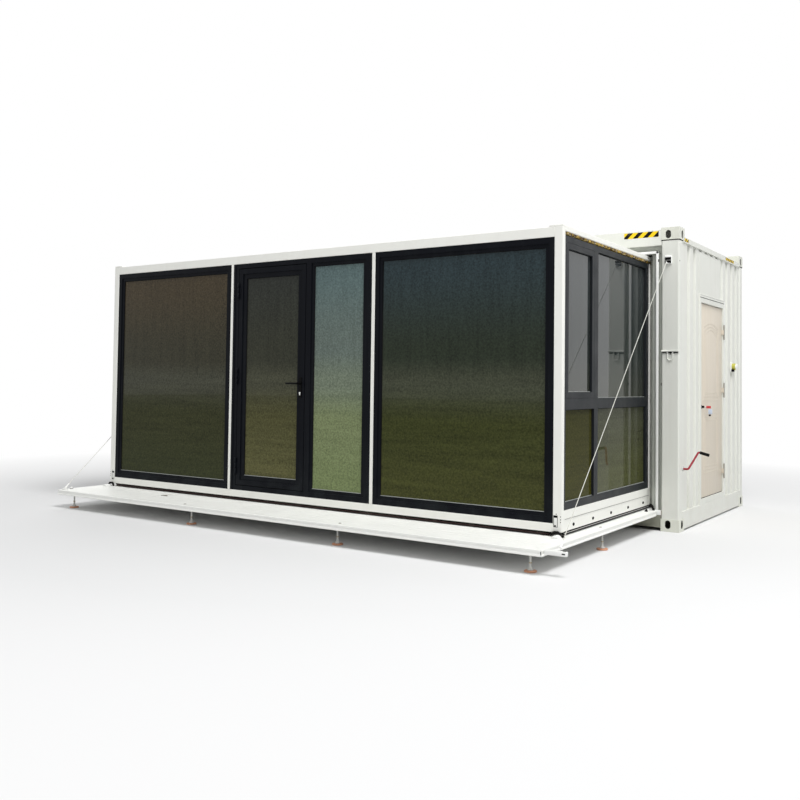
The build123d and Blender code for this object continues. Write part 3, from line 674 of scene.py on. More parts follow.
# a sheet with pressed valleys: x along it, its outer face at y 0, z up
def corrugatedPanel():
    g = Growth("corrugated_panel", {
        "Length": "f", "Thickness": "f", "Height": "f", "Columns": "i", "First": "f", "Pitch": "f",
        "Count": "i", "Valley": "f", "Slope": "f", "Depth": "f",
    })
    counts = {"Vertices X": "Columns", "Vertices Y": 2, "Vertices Z": 2}
    size = g.vector("Length", "Thickness", "Height")
    sheet = g.step("GeometryNodeMeshCube", {"Size": size, **counts})
    halves = zip(("Length", "Thickness", "Height"), (0.5, -0.5, 0.5))
    half = g.vector(*[g.math("MULTIPLY", label, share) for label, share in halves])
    sheet = g.step("GeometryNodeSetPosition", {"Geometry": sheet, "Offset": half})
    spread = g.node("ShaderNodeSeparateXYZ", {0: g.step("GeometryNodeInputPosition")})
    run = g.math("SUBTRACT", spread.outputs["X"], "First")
    index = g.math("ROUND", g.math("DIVIDE", run, "Pitch"))
    index = g.math("MINIMUM", g.math("MAXIMUM", index, 0.0), g.math("SUBTRACT", "Count", 1.0))
    away = g.math("ABSOLUTE", g.math("SUBTRACT", run, g.math("MULTIPLY", index, "Pitch")))
    edge = g.math("MULTIPLY", "Valley", 0.5)
    sockets = {
        "Value": away, "From Min": edge, "From Max": g.math("ADD", edge, "Slope"),
        "To Min": g.math("MULTIPLY", "Depth", -1.0), "To Max": 0.0,
    }
    drop = g.step("ShaderNodeMapRange", sockets, interpolation_type="SMOOTHSTEP")
    outer = g.math("GREATER_THAN", spread.outputs["Y"], g.math("MULTIPLY", "Thickness", -0.5))
    pressed = {"Geometry": sheet, "Selection": outer, "Offset": g.vector(0.0, drop, 0.0)}
    return g.close(g.step("GeometryNodeSetPosition", pressed))


# strands wound round one line, z up from the ground
def twistedWire():
    g = Growth("twisted_wire", {
        "Strands": "i", "Lay Radius": "f", "Strand Radius": "f", "Turns": "f", "Length": "f",
        "Steps": "i", "Sides": "i",
    })
    path = {
        "Resolution": "Steps", "Rotations": "Turns", "Height": "Length",
        "Start Radius": "Lay Radius", "End Radius": "Lay Radius",
    }
    spiral = g.step("GeometryNodeCurveSpiral", path)
    ring = g.step("GeometryNodeCurvePrimitiveCircle", {"Resolution": "Sides", "Radius": "Strand Radius"})
    strand = g.step("GeometryNodeCurveToMesh", {"Curve": spiral, "Profile Curve": ring, "Fill Caps": True})
    turn = g.math("DIVIDE", g.math("MULTIPLY", g.step("GeometryNodeInputIndex"), 2 * math.pi), "Strands")
    points = g.step("GeometryNodePoints", {"Count": "Strands"})
    copies = {"Points": points, "Instance": strand, "Rotation": g.vector(0.0, 0.0, turn)}
    return g.close(g.step("GeometryNodeInstanceOnPoints", copies))


# domed heads in a row
def headRow():
    g = Growth("head_row", {"Start": "v", "Step": "v", "Count": "i", "Size": "v", "Segments": "i"})
    dome = g.step("GeometryNodeMeshUVSphere", {"Segments": "Segments", "Rings": 8, "Radius": 1.0})
    dome = g.step("GeometryNodeTransform", {"Geometry": dome, "Scale": "Size"})
    line = g.step("GeometryNodeMeshLine", {"Count": "Count", "Start Location": "Start", "Offset": "Step"})
    return g.close(g.step("GeometryNodeInstanceOnPoints", {"Points": line, "Instance": dome}))


panelGrowth, wireGrowth, headGrowth = corrugatedPanel(), twistedWire(), headRow()
print("growth trees made")

for name, node in nodes.items():
    node.data.materials.clear()
    node.data.materials.append(materials[slotOf[name]])
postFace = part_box("corner_posts")[0].y
joints = {joint["name"]: joint for joint in frame["record"]["behaviour"]["joints"]}

# walls and roof, pressed the way the real sheets are
panelSettings = dict(
    slope=0.018,
    column=0.003,       # width of the mesh's columns
    walls=dict(pitch=0.204, valley=0.064, depth=0.036, phase=0.349),
    rear=dict(pitch=0.278, valley=0.070, depth=0.036, phase=-2.716),
    roof=dict(pitch=0.209, valley=0.091, depth=0.020, phase=-2.8605),
    valleyTop=(0.024, 0.012),   # painted shadow at a valley's top, under the rail: its height and depth
)


# the valleys' middles that lie wholly between two places
def valleys(s, axis, start, end):
    reach = s["valley"] / 2 + panelSettings["slope"]
    first = at(s["phase"], s["phase"], 0)[axis]
    middles = [first + s["pitch"] * k for k in range(-40, 41)]
    return [m for m in middles if m - reach > start and m + reach < end]


# flipped: whether the sheet's length, its outer face and its height run against their axes
def pressedPanel(name, kind, along, outward, flipped):
    s = panelSettings[kind]
    low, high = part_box(name)
    start, end = low[along], high[along]
    upAxis = 3 - along - outward
    middles = valleys(s, along, start, end) or [start - 10]
    mesh = panelGrowth.grow(
        name + "_pressed", slotOf[name], **{
            "Length": end - start, "Thickness": high[outward] - low[outward],
            "Height": high[upAxis] - low[upAxis],
            "Columns": round((end - start) / panelSettings["column"]),
            "First": end - middles[-1] if flipped[0] else middles[0] - start,
            "Pitch": s["pitch"], "Count": len(middles), "Valley": s["valley"],
            "Slope": panelSettings["slope"], "Depth": s["depth"],
        },
    )
    rows, move = [Vector(), Vector(), Vector()], Vector()
    for local, axis in enumerate((along, outward, upAxis)):
        rows[axis][local] = -1 if flipped[local] else 1
        move[axis] = high[axis] if flipped[local] != (local == 1) else low[axis]
    mesh.transform(Matrix.Translation(move) @ Matrix(rows).to_4x4())
    standFor(name, name + "_pressed", mesh)


for name in ("door_wall_front", "door_wall_rear", "door_wall_head"):
    pressedPanel(name, "walls", 1, 0, (True, False, False))


# dark boxes at the tops of the end wall's valleys: painted shadow under the rail
def makeValleyTopShadows(s, size):
    tall, deep = size
    shape = Shape()
    half = s["valley"] / 2
    for name in ("door_wall_front", "door_wall_rear"):
        low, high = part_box(name)
        floor = high.x - s["depth"]
        for y in valleys(s, 1, low.y, high.y):
            zs = (high.z - tall, high.z - 0.001)
            shape.box((floor - sunk, floor + deep), (y - half, y + half), zs, 0.001, 1)
    shape.finish("valley_tops", "pocket_dark", "container")


makeValleyTopShadows(panelSettings["walls"], panelSettings["valleyTop"])
pressedPanel("left_end_wall", "walls", 1, 0, (False, True, False))
pressedPanel("rear_wall", "rear", 0, 1, (False, False, False))
pressedPanel("roof_panel", "roof", 0, 2, (False, False, True))
print("walls and roof pressed")

# CAD nodes with their edges eased: width, segments, the one axis eased, what lies inside
refined = dict(
    corner_posts=(0.014, 4, 2),
    # the castings' pocket insides take dark paint: painted shade
    lower_corner_castings=(0.007, 3, None, "pocket_dark"),
    upper_corner_castings=(0.007, 3, None, "pocket_grey"),
    front_header=(0.005, 3),
    top_rails=(0.005, 3),
    bottom_sills=(0.006, 3),
    front_bottom_rail=(0.004, 2),
    door_head_plate=(0.0008, 1),
    end_door_casing=(0.003, 2),
    opening_jambs=(0.004, 2),
    opening_head=(0.004, 2),
    deck_hinges=(0.0015, 2),
    slide_tracks=(0.001, 1),
    crank_bearing=(0.001, 2),
    room_posts=(0.004, 3),
    front_mullions=(0.002, 2),
    room_front_rail=(0.004, 3),
    roof_fascias=(0.003, 2),
    room_side_rails=(0.003, 2),
    room_roof=(0.002, 2),
    roof_corner_caps=(0.003, 2),
    room_rollers=(0.003, 2),
    front_window_frames=(0.002, 2),
    doorway_frame=(0.002, 2),
    doorway_hinges=(0.0008, 1),
    side_window_frames=(0.002, 2),
    side_window_sashes=(0.002, 2),
    front_door_leaf=(0.002, 2),
    front_door_hinges=(0.0008, 1),
    front_door_lock_plates=(0.0015, 2),
    front_door_lever=(0.0025, 3),
)
for name, values in refined.items():
    refine(name, *values)
print("CAD nodes eased")

# the opening's white ridge, its rubber seal, the sill over the floor's front edge, and the
# dark lines under the top castings, painted shadow of the castings' lower edge
openingSettings = dict(
    ridgeX=(2.7965, 2.8215),
    ridgeY=(0.0185, 0.030),
    ridgeZ=(2.6515, 2.6765),
    sealX=(2.7115, 2.756),
    sealY=(0.138, 0.149),
    sealLip=(0.007, 0.118),
    sill=(2.8535, (0.0085, 0.18), (0.1485, 0.1915)),
    footSeal=(
        (2.744, 0.251), (2.762, 0.251), (2.784, 0.230), (2.784, 0.214), (2.793, 0.206), (2.793, 0.1915),
        (2.771, 0.1915), (2.771, 0.210), (2.744, 0.230),
    ),
    footSealY=(0.001, 0.010),
    wedge=((2.742, 0.190), (2.770, 0.190), (2.757, 0.216)),
    wedgeY=(-0.135, -0.112),
    gap=(2.769, 2.7782),
    gapProud=0.0014,
)


def makeOpening(s):
    ridges, seals, blacks = Shape(), Shape(), Shape()
    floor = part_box("container_floor")[1].z
    ridgeX, ridgeY, ridgeZ = s["ridgeX"], atY(*s["ridgeY"]), s["ridgeZ"]
    ridges.box(atX(-ridgeX[1], ridgeX[1]), ridgeY, ridgeZ, 0.003, 2)
    half, sillY, sillZ = s["sill"]
    ridges.box(atX(-half, half), atY(*sillY), sillZ, 0.004, 3)
    lip, lipFront = s["sealLip"]
    for side in (1, -1):
        ridges.box(atX(*ridgeX, side=side), ridgeY, (floor, ridgeZ[1]), 0.003, 2)
        inner, outer = s["sealX"]
        front, back = s["sealY"]
        zs = (floor, ridgeZ[0])
        seals.box(atX(inner, outer, side=side), atY(front, back), zs, 0.002, 2)
        seals.box(atX(outer - lip, outer, side=side), atY(lipFront, back), zs, 0.001, 1)
        for key in ("footSeal", "wedge"):
            front, back = s[key + "Y"]
            points = [at(side * x, front, z) for x, z in s[key]]
            blacks.prism(points, Vector((0, back - front, 0)), 0.001)
    # black bands round the posts under the top castings: painted shadow
    proud = Vector((s["gapProud"], s["gapProud"], 0))
    for low, high in solidBoxes("corner_posts"):
        low, high = low - proud, high + proud
        blacks.box((low.x, high.x), (low.y, high.y), s["gap"], *thin)
    ridges.finish("opening_ridges", "plate_white", "container")
    seals.finish("opening_seals", "opening_grey", "container", "opening_grey")
    blacks.finish("opening_foot_seals", "seal_rubber", "container", "seal_rubber")


makeOpening(openingSettings)
print("opening trimmed")

# deck: a pressed field inside mitred edge bars
deckSettings = dict(
    edge=0.095,         # width of the edge bars
    groovePitch=0.085,
    groove=0.004,
    grooveSlope=0.003,
    grooveDepth=0.0022,
    grooveColumn=0.0015,
    lip=0.012,
    lipRecess=0.004,
    joint=0.0012,       # dark line at a mitre
    eye=(-1.57, -2.19),
    eyeRadii=(0.034, 0.026),
    bolts=((0.938, -2.489), (-0.938, -2.489), (2.764, -1.292), (-2.764, -1.292)),
    bolt=((0.013, 0), (0.013, 0.002), (0.010, 0.004), (0.004, 0.0045)),
    pin=(-2.79, -2.41),
    pinHead=((0.014, 0), (0.014, 0.012), (0.008, 0.018), (0.003, 0.019)),
)


def makeDeck(s):
    low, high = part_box("deck_panel")
    edge = s["edge"]
    span = high.y - (low.y + edge)
    field = panelGrowth.grow(
        "deck_field", "deck_white", sharp=30, **{
            "Length": span, "Thickness": high.z - low.z - 0.002, "Height": high.x - low.x - 2 * edge,
            "Columns": round(span / s["grooveColumn"]), "First": 0.04, "Pitch": s["groovePitch"],
            "Count": int((span - 0.03) / s["groovePitch"]), "Valley": s["groove"],
            "Slope": s["grooveSlope"], "Depth": s["grooveDepth"],
        },
    )
    turn = Matrix(((0, 0, 1), (1, 0, 0), (0, 1, 0))).to_4x4()
    field.transform(Matrix.Translation((low.x + edge, low.y + edge, high.z - 0.0005)) @ turn)
    standFor("deck_panel", "deck_field", field)
    bars, up = Shape(), Vector((0, 0, 1))
    lip, recess, tall = s["lip"], s["lipRecess"], high.z - low.z
    # outline of an edge bar: across inwards, and up from the deck's underside
    outline = [
        (0, tall - lip), (0, tall - 0.003), (0.003, tall), (edge - 0.002, tall), (edge, tall - 0.002),
        (edge, 0), (0.002, 0), (0, 0.002), (0, lip), (recess, lip + recess), (recess, tall - lip - recess),
    ]
    corners = ((low.x, high.y), (low.x, low.y), (high.x, low.y), (high.x, high.y))
    rings = mitred([Vector((x, y, low.z)) for x, y in corners], up, outline, closed=False)
    for a, b in zip(rings, rings[1:]):
        inset = (b[0] - a[0]).normalized() * s["joint"]
        bars.loft([[p + inset for p in a], [p - inset for p in b]], smooth=False)
    bars.standFor("deck_panel", "deck_edges")
    marks = Shape()
    (across, deep), middle = s["eyeRadii"], at(*s["eye"], high.z + 0.001)
    turns = [t / 12 * math.pi for t in range(13)]
    marks.tube([middle + Vector((across * math.cos(t), deep * math.sin(t), 0)) for t in turns], 0.003, 8)
    x, y, z = middle
    marks.box((x - 0.045, x + 0.045), (y - 0.006, y + 0.004), (z - 0.002, z + 0.003), 0.001)
    for place in s["bolts"]:
        marks.turned(at(*place, high.z - sunk), up, s["bolt"], 20)
    marks.finish("deck_fittings", "hinge_steel", "container", "hinge_steel")
    # the white pin with its dark nut at the left edge, the mark at the right front corner
    bolts = Shape()
    bolts.turned(at(*s["pin"], high.z), up, s["pinHead"], 20, 1)
    bolts.turned(at(*s["pin"], high.z - sunk), up, [(0.020, 0), (0.020, 0.004)], 6)
    x, y, z = high.x - 0.006, low.y + 0.004, high.z
    bolts.box((x - 0.004, x + 0.0005), (y - 0.0035, y - 0.0015), (z - 0.05, z - 0.004), 0.0005)
    bolts.finish("deck_corner_fittings", "mark_dark plate_white", "container")


makeDeck(deckSettings)

# the doorway frame laps over each mullion, which laps over the windows' frames
lapSettings = dict(
    doorway_laps=((0.8345, 0.860), "frame_charcoal"),
    mullion_laps=((0.884, 0.893), "room_white"),
)


def makeLaps(s, proud=0.0014, deep=0.028):
    low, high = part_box("front_mullions")
    for name, ((inner, outer), slot) in s.items():
        shape = Shape()
        for side in (1, -1):
            xs = atX(inner, outer, side=side)
            shape.box(xs, (low.y - proud, low.y + deep), (low.z + 0.002, high.z - 0.002), 0.0006, 1)
        shape.finish(name, slot, "room", slot)


makeLaps(lapSettings)

# the two stops in front of the room's posts, with a black strip over each: painted shadow of the gap between
# the post's foot and the stop
stopSettings = dict(
    hump=((2.661, 0.1895), (2.668, 0.204), (2.682, 0.211), (2.700, 0.212), (2.714, 0.206), (2.731, 0.1895)),
    humpY=(-2.058, -1.985),
    flap=(
        (2.628, 0.208), (2.646, 0.231), (2.654, 0.236), (2.688, 0.236), (2.697, 0.228), (2.712, 0.209),
        (2.743, 0.207),
    ),
    flapY=(-1.996, -1.9735),
    flapThick=0.015,
)


def makeStops(s):
    stops, shadowStrips = Shape(), Shape()
    under = [(x, z - s["flapThick"]) for x, z in reversed(s["flap"])]
    for side in (1, -1):
        for shape, outline, (front, back), width in (
            (stops, s["hump"], s["humpY"], 0.003), (shadowStrips, [*s["flap"], *under], s["flapY"], 0.0008),
        ):
            points = [at(side * x, front, z) for x, z in outline]
            shape.prism(points, Vector((0, back - front, 0)), width)
    stops.finish("room_stops", "plate_white", "container")
    shadowStrips.finish("room_stop_flaps", "seal_rubber", "container")


makeStops(stopSettings)
print("deck made")

# jack feet: bell cup, threaded stem, hexagon nuts
jackSettings = dict(
    stem=0.0075,
    thread=0.0011,
    lay=0.0035,
    cup=0.024,
    cupTop=0.037,
    # the cup's outline: shares of its radius, and heights
    bell=((0.9, 0), (1, 0.003), (0.94, 0.007), (0.7, 0.012), (0.5, 0.018), (0.42, 0.026), (0.42, 0.034)),
    nut=0.013,
    nutHeights=(0.013, 0.008),
    threadStart=0.050,
    pad=((0.94, 0, 0), (1, 0, 0.002), (1, 1, -0.004), (0.95, 1, -0.001), (0.86, 1, 0)),
)


def makeJacks(s):
    jacks, nuts, pads, threads = Shape(), Shape(), Shape(), bmesh.new()
    up = Vector((0, 0, 1))
    stem, nut, start = s["stem"], s["nut"], s["threadStart"]
    for low, high in solidBoxes("jack_feet"):
        foot = footOf(low, high)
        tall = high.z - low.z
        bell = [(s["cup"] * share, height) for share, height in s["bell"]]
        jacks.turned(foot, up, bell + [(stem, s["cupTop"]), (stem, tall)], 28)
        for base, height in zip((tall - s["nutHeights"][0], start), s["nutHeights"]):
            top = base + height
            profile = [(nut * 0.86, base), (nut, base + 0.002), (nut, top - 0.002), (nut * 0.86, top)]
            nuts.turned(foot, up, profile, 6)
        length = tall - start - 0.002
        thread = wireGrowth.grow("jack_thread", "galvanised", **{
            "Strands": 1, "Lay Radius": stem, "Strand Radius": s["thread"], "Turns": length / s["lay"],
            "Length": length, "Steps": 14, "Sides": 4,
        })
        thread.transform(Matrix.Translation(foot + up * start))
        threads.from_mesh(thread)
        bpy.data.meshes.remove(thread)
    jacks.standFor("jack_feet", "jack_screws")
    nuts.finish("jack_nuts", "nut_beige", "container", None, "jack_feet")
    standFor("jack_feet", "jack_threads", joined(threads, "jack_threads"))
    for low, high in solidBoxes("foot_pads"):
        foot = footOf(low, high)
        radius, tall = (high.x - low.x) / 2, high.z - low.z
        pads.turned(foot, up, [(radius * share, tall * top + step) for share, top, step in s["pad"]], 36)
    pads.standFor("foot_pads", "foot_pads_finished")


makeJacks(jackSettings)
print("jack feet made")

# stays of twisted wire
staySettings = dict(strands=6, lay=0.036, radius=0.0033)


def makeStays(s):
    whole, lines = bmesh.new(), []
    b = welded("stay_cables")
    for low, high in solidBoxes("stay_cables"):
        inside = [v.co for v in b.verts if low.x - 0.001 <= v.co.x <= high.x + 0.001]
        middleZ = (low.z + high.z) / 2
        tops, feet = [p for p in inside if p.z > middleZ], [p for p in inside if p.z <= middleZ]
        top, foot = [sum(points, Vector()) / len(points) for points in (tops, feet)]
        lines.append((top, foot))
        along = foot - top
        mesh = wireGrowth.grow("stay_wire", "stay_wire", **{
            "Strands": s["strands"], "Lay Radius": s["radius"] * 0.62, "Strand Radius": s["radius"] * 0.38,
            "Turns": along.length / s["lay"], "Length": along.length, "Steps": 6, "Sides": 5,
        })
        mesh.transform(Matrix.Translation(top) @ along.to_track_quat("Z", "Y").to_matrix().to_4x4())
        whole.from_mesh(mesh)
        bpy.data.meshes.remove(mesh)
    b.free()
    standFor("stay_cables", "stay_wires", joined(whole, "stay_wires"))
    return lines


stayLines = makeStays(staySettings)

# what the stays are held by: a plate with two dark bars, painted shadow of its slots, and a prong at the top,
# a socket on a lug or arm below
holdSettings = dict(
    plate=(0.033, 0.012, 0.084, 0.002),     # half width, depth, how far its ends lie below the node's top
    bars=((0.021, 0.046), (0.053, 0.077)),
    barHalf=0.029,
    prong=0.0055,
    # along the stay from where the socket starts: radii and places
    socket=((0.010625, 0), (0.010625, 0.012), (0.0085, 0.018), (0.0085, 0.052), (0.0068, 0.062)),
    socketStart=0.054,
    lug=((0, 0.040, 0, 0.010, 0.002), (0.010, 0.034, 0.005, 0.026, 0.003)),
    armX=(2.817, 2.990),
    armY=(-2.519, -2.481),
    armZ=(0.154, 0.188),
    slot=(2.957, 2.982),
)


def makeHolds(s, lines):
    hooks, sockets = Shape(), Shape()
    half, deep, under, over = s["plate"]
    front = postFace - deep
    for low, high in solidBoxes("stay_hooks"):
        middle = (low.x + high.x) / 2
        xs = (middle - half, middle + half)
        hooks.box(xs, (front, postFace + sunk), (high.z - under, high.z - over), 0.004, 3)
        # the dark bars on the plate: painted shadow of its slots
        xs = (middle - s["barHalf"], middle + s["barHalf"])
        for a, b in s["bars"]:
            hooks.box(xs, (front - 0.008, front + sunk), (high.z - b, high.z - a), 0.002, 2, 1)
        foot = Vector((middle, front + 0.002, high.z - under + 0.004))
        out = Vector((middle, low.y + 0.010, foot.z - 0.003))
        hooks.tube(rounded([foot, out, out + Vector((0, 0, 0.014))], 0.006), s["prong"], 10)
    hooks.standFor("stay_hooks", "stay_hooks_finished", "plate_white mark_dark")
    for top, foot in lines:
        ahead = (foot - top).normalized()
        sockets.turned(foot + ahead * s["socketStart"], -ahead, s["socket"], 20)
    low, high = solidBoxes("stay_brackets")[0]
    for inset, (y0, y1, z0, z1, width) in zip((0, 0.014), s["lug"]):
        ys, zs = (low.y + y0, low.y + y1), (low.z + z0, low.z + z1)
        sockets.box((low.x + inset, high.x - inset), ys, zs, width, 2)
    (y0, y1), (z0, z1) = s["armY"], s["armZ"]
    sockets.box(atX(*s["armX"]), atY(y0, y1), (z0, z1), 0.003, 3)
    # dark boxes on the arm's front and top over its fork slot: painted shade
    xs = atX(*s["slot"])
    sockets.box(xs, atY(y0 - 0.0008, y0 + 0.004), (z0 + 0.013, z1 - 0.012), 0.0006, 1, 1)
    sockets.box(xs, atY(y0 + 0.011, y1 - 0.011), (z1 - 0.003, z1 + 0.0008), 0.0006, 1, 1)
    sockets.standFor("stay_brackets", "stay_sockets", "plate_white mark_dark")


makeHolds(holdSettings, stayLines)
print("stays made")

# lashing bars: a round bar with end collars and a ring under it, and a dark strip under the bar, painted
# shadow
lashingSettings = dict(bar=0.0085, neck=0.00731, collar=0.0095, collarLength=0.018, ring=0.026, wire=0.0045)


def makeLashing(s):
    shape = Shape()
    bar, neck, collar, ends, half = [s[key] for key in ("bar", "neck", "collar", "collarLength", "ring")]
    for low, high in solidBoxes("lashing_bars"):
        middle, y, z = (low.x + high.x) / 2, (low.y + high.y) / 2, high.z - 0.009
        wide = high.x - low.x - 0.004
        shape.turned(Vector((low.x + 0.002, y, z)), (1, 0, 0), [
            (collar * 0.8, 0), (collar, 0.002), (collar, ends), (neck, ends + 0.003),
            (neck, wide - ends - 0.003), (collar, wide - ends), (collar, wide - 0.002), (collar * 0.8, wide),
        ], 20)
        back = postFace + sunk
        shape.box((low.x, high.x), (y, back), (z - bar, z + bar), 0.001)
        down, bottom = z - 0.009, low.z + half + 0.002
        turns = [math.pi * k / 14 for k in range(15)]
        bow = [Vector((middle - half * math.cos(t), y, bottom - half * math.sin(t))) for t in turns]
        left, right = Vector((middle - half, y, down)), Vector((middle + half, y, down))
        shape.tube([left, *bow, right], s["wire"], 12)
        shape.box((middle, middle + 0.008), (y - 0.004, y + 0.006), (down - 0.026, down + 0.002), 0.001, 2, 1)
        # the dark strip under the bar: painted shadow
        shape.box((low.x + 0.01, high.x - 0.01), (y + 0.002, back), (z - 0.021, z - 0.011), 0.001, 2, 1)
    shape.standFor("lashing_bars", "lashing_bars_finished", "container_white mark_dark")


makeLashing(lashingSettings)

# plain hazard stripes on the header and on the right end rail
hazardSettings = dict(
    yellow=(0.90, 0.62, 0.02),
    black=(0.004, 0.004, 0.004),
    thickness=0.0008,
    headerPitch=0.100,
    headerX=(2.484, 2.827),
    headerZ=(2.813, 2.868),
    railPitch=0.064,
    railY=((0.140, 0.305), (1.698, 2.048)),
    railZ=(2.777, 2.808),
)


def makeHazard(s):
    t, colours = s["thickness"], (s["yellow"], s["black"])
    headerFace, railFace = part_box("front_header")[0].y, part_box("top_rails")[1].x
    shape = Shape()
    for side in (1, -1):
        xs = atX(*s["headerX"], side=side)
        shape.box(xs, (headerFace - t, headerFace + t), s["headerZ"], *thin)
    materials["hazard_header"] = stripes("hazard_header", "X", s["headerPitch"], -1.0, *colours)
    shape.finish("header_stripes", "hazard_header", "container")
    shape = Shape()
    for ys in s["railY"]:
        shape.box((railFace - t, railFace + t), atY(*ys), s["railZ"], *thin)
    materials["hazard_rail"] = stripes("hazard_rail", "Y", s["railPitch"], -1.0, *colours)
    shape.finish("rail_stripes", "hazard_rail", "container")


makeHazard(hazardSettings)
print("lashing bars and stripes made")

# glass, one pane at a time, each with its own tint and painted reflection
# stops: colours by height, painted reflection over the tint; look: broad mottle, fine mottle, clearness,
# refraction, roughness, both mottles painted reflection
paneTintsAndReflections = dict(
    leftPane=dict(
        stops=(
            (0.37, (0.038, 0.044, 0.016)), (1.0, (0.044, 0.047, 0.020)), (1.38, (0.060, 0.062, 0.042)),
            (1.6, (0.042, 0.040, 0.024)), (2.45, (0.066, 0.050, 0.028)),
        ),
        look=(0.15, 0.50, 0.10, 1.22, 0.015),
    ),
    doorPane=dict(
        stops=(
            (0.37, (0.110, 0.107, 0.042)), (1.0, (0.084, 0.082, 0.034)), (1.38, (0.062, 0.064, 0.040)),
            (1.6, (0.034, 0.036, 0.023)), (2.45, (0.028, 0.031, 0.026)),
        ),
        look=(0.15, 0.50, 0.10, 1.22, 0.015),
    ),
    sideLight=dict(
        stops=(
            (0.37, (0.18, 0.225, 0.10)), (1.0, (0.20, 0.24, 0.12)), (1.38, (0.165, 0.20, 0.145)),
            (1.7, (0.13, 0.165, 0.145)), (2.45, (0.105, 0.155, 0.155)),
        ),
        look=(0.10, 0.40, 0.08, 1.22, 0.03),
    ),
    rightPane=dict(
        stops=(
            (0.37, (0.056, 0.060, 0.015)), (1.0, (0.046, 0.052, 0.015)), (1.38, (0.052, 0.058, 0.036)),
            (1.62, (0.022, 0.030, 0.018)), (2.45, (0.026, 0.042, 0.048)),
        ),
        look=(0.18, 0.50, 0.10, 1.22, 0.015),
    ),
    sideUpper=dict(
        stops=((1.30, (0.045, 0.050, 0.040)), (1.7, (0.030, 0.038, 0.036)), (2.45, (0.05, 0.058, 0.060))),
        look=(0.20, 0.35, 0.18, 1.48, 0.012),
    ),
    sideLowNear=dict(
        stops=((0.37, (0.050, 0.050, 0.008)), (1.2, (0.046, 0.046, 0.014))),
        look=(0.15, 0.50, 0.05, 1.10, 0.03),
    ),
    sideLowFar=dict(
        stops=((0.37, (0.070, 0.076, 0.026)), (1.2, (0.060, 0.064, 0.040))),
        look=(0.15, 0.50, 0.05, 1.18, 0.03),
    ),
)
gasketSettings = dict(across=0.005, out=0.004, bead=0.005, beadInset=0.004, beadOut=0.008)


def makeGlass(tones, s):
    for name, tone in tones.items():
        materials[name] = glass(name, tone["stops"], *tone["look"])
    front, door = "front_window_glass", "front_door_glass"
    left, light, right = solidBoxes(front)
    panes = [
        ("left_pane", left, "leftPane", front), ("side_light_pane", light, "sideLight", front),
        ("right_pane", right, "rightPane", front), ("door_pane", solidBoxes(door)[0], "doorPane", door),
    ]
    for i, box in enumerate(solidBoxes("side_window_glass")):
        near = box[1].y < cabinZero.y - 1
        tone = "sideUpper" if box[0].z > 1.25 else "sideLowNear" if near else "sideLowFar"
        panes.append((f"side_pane_{i + 1}", box, tone, "side_window_glass"))
    across, out, rubbers = s["across"], s["out"], {}
    outline = [(0, -0.001), (0, out), (across * 0.7, out), (across, out * 0.4), (across, -0.001)]
    for name, (low, high), tone, node in panes:
        shape = Shape()
        shape.box(*zip(low, high), 0.001, 1)
        shape.standFor(node, name, tone)
        rubber = rubbers.setdefault(bodyOf[node], Shape())
        along = 0 if high.x - low.x > high.y - low.y else 1
        outer = 1 - along
        # both faces of the pane, and the way each looks
        for face, way in ((low[outer], -1), (high[outer], 1)):
            normal, corners = Vector(), []
            normal[outer] = way
            for u, z in zip((low, high, high, low), (low.z, low.z, high.z, high.z)):
                p = Vector((0, 0, z))
                p[along], p[outer] = u[along], face
                corners.append(p)
            if normal.cross(corners[1] - corners[0]).z < 0:
                corners.reverse()
            rubber.loft(mitred(corners, normal, outline), closed=True, smooth=False)
            # a light grey strip along the foot of this face: painted highlight of the ledge under the glass
            spans = [(), (), (low.z + 0.0005, low.z + s["bead"])]
            spans[along] = (low[along] + s["beadInset"], high[along] - s["beadInset"])
            spans[outer] = (face, face + way * s["beadOut"])
            rubber.box(*spans, 0.0008, 1, 1)
    for body, rubber in rubbers.items():
        rubber.finish(body + "_pane_gaskets", "pane_gasket pane_bead", body)


makeGlass(paneTintsAndReflections, gasketSettings)
print("glass made")

# what goes round the slide-out room: rail covers and axle heads, skirts, latch recesses, with a painted
# shadow line under each cover and painted shade round each recess
roomSettings = dict(
    capBottom=0.322,        # lower edge of the side rails' upper cover
    capProud=0.0025,
    # the dark grey line under the cover's lower edge: painted shadow
    groove=(-0.0045, -0.0005),
    heads=(-1.716, -1.308, -0.895, -0.469, -0.060),
    headHeight=0.262,
    headSize=(0.006, 0.020, 0.0130),
    recessX=(2.646, 2.675),
    recessZ=(0.268, 0.352),
    recessRim=((0, -0.001), (0, 0.0012), (-0.0035, 0.0012), (-0.0035, -0.001)),
    screws=((2.703, 0.348), (2.703, 0.325), (2.703, 0.306), (2.666, 0.366)),
    screw=((0.004, 0), (0.004, 0.001), (0.002, 0.002)),
)


# the outward face of a solid on one of the room's sides, and the way it looks
def outerFace(low, high):
    return (high.x, 1) if low.x > cabinZero.x else (low.x, -1)


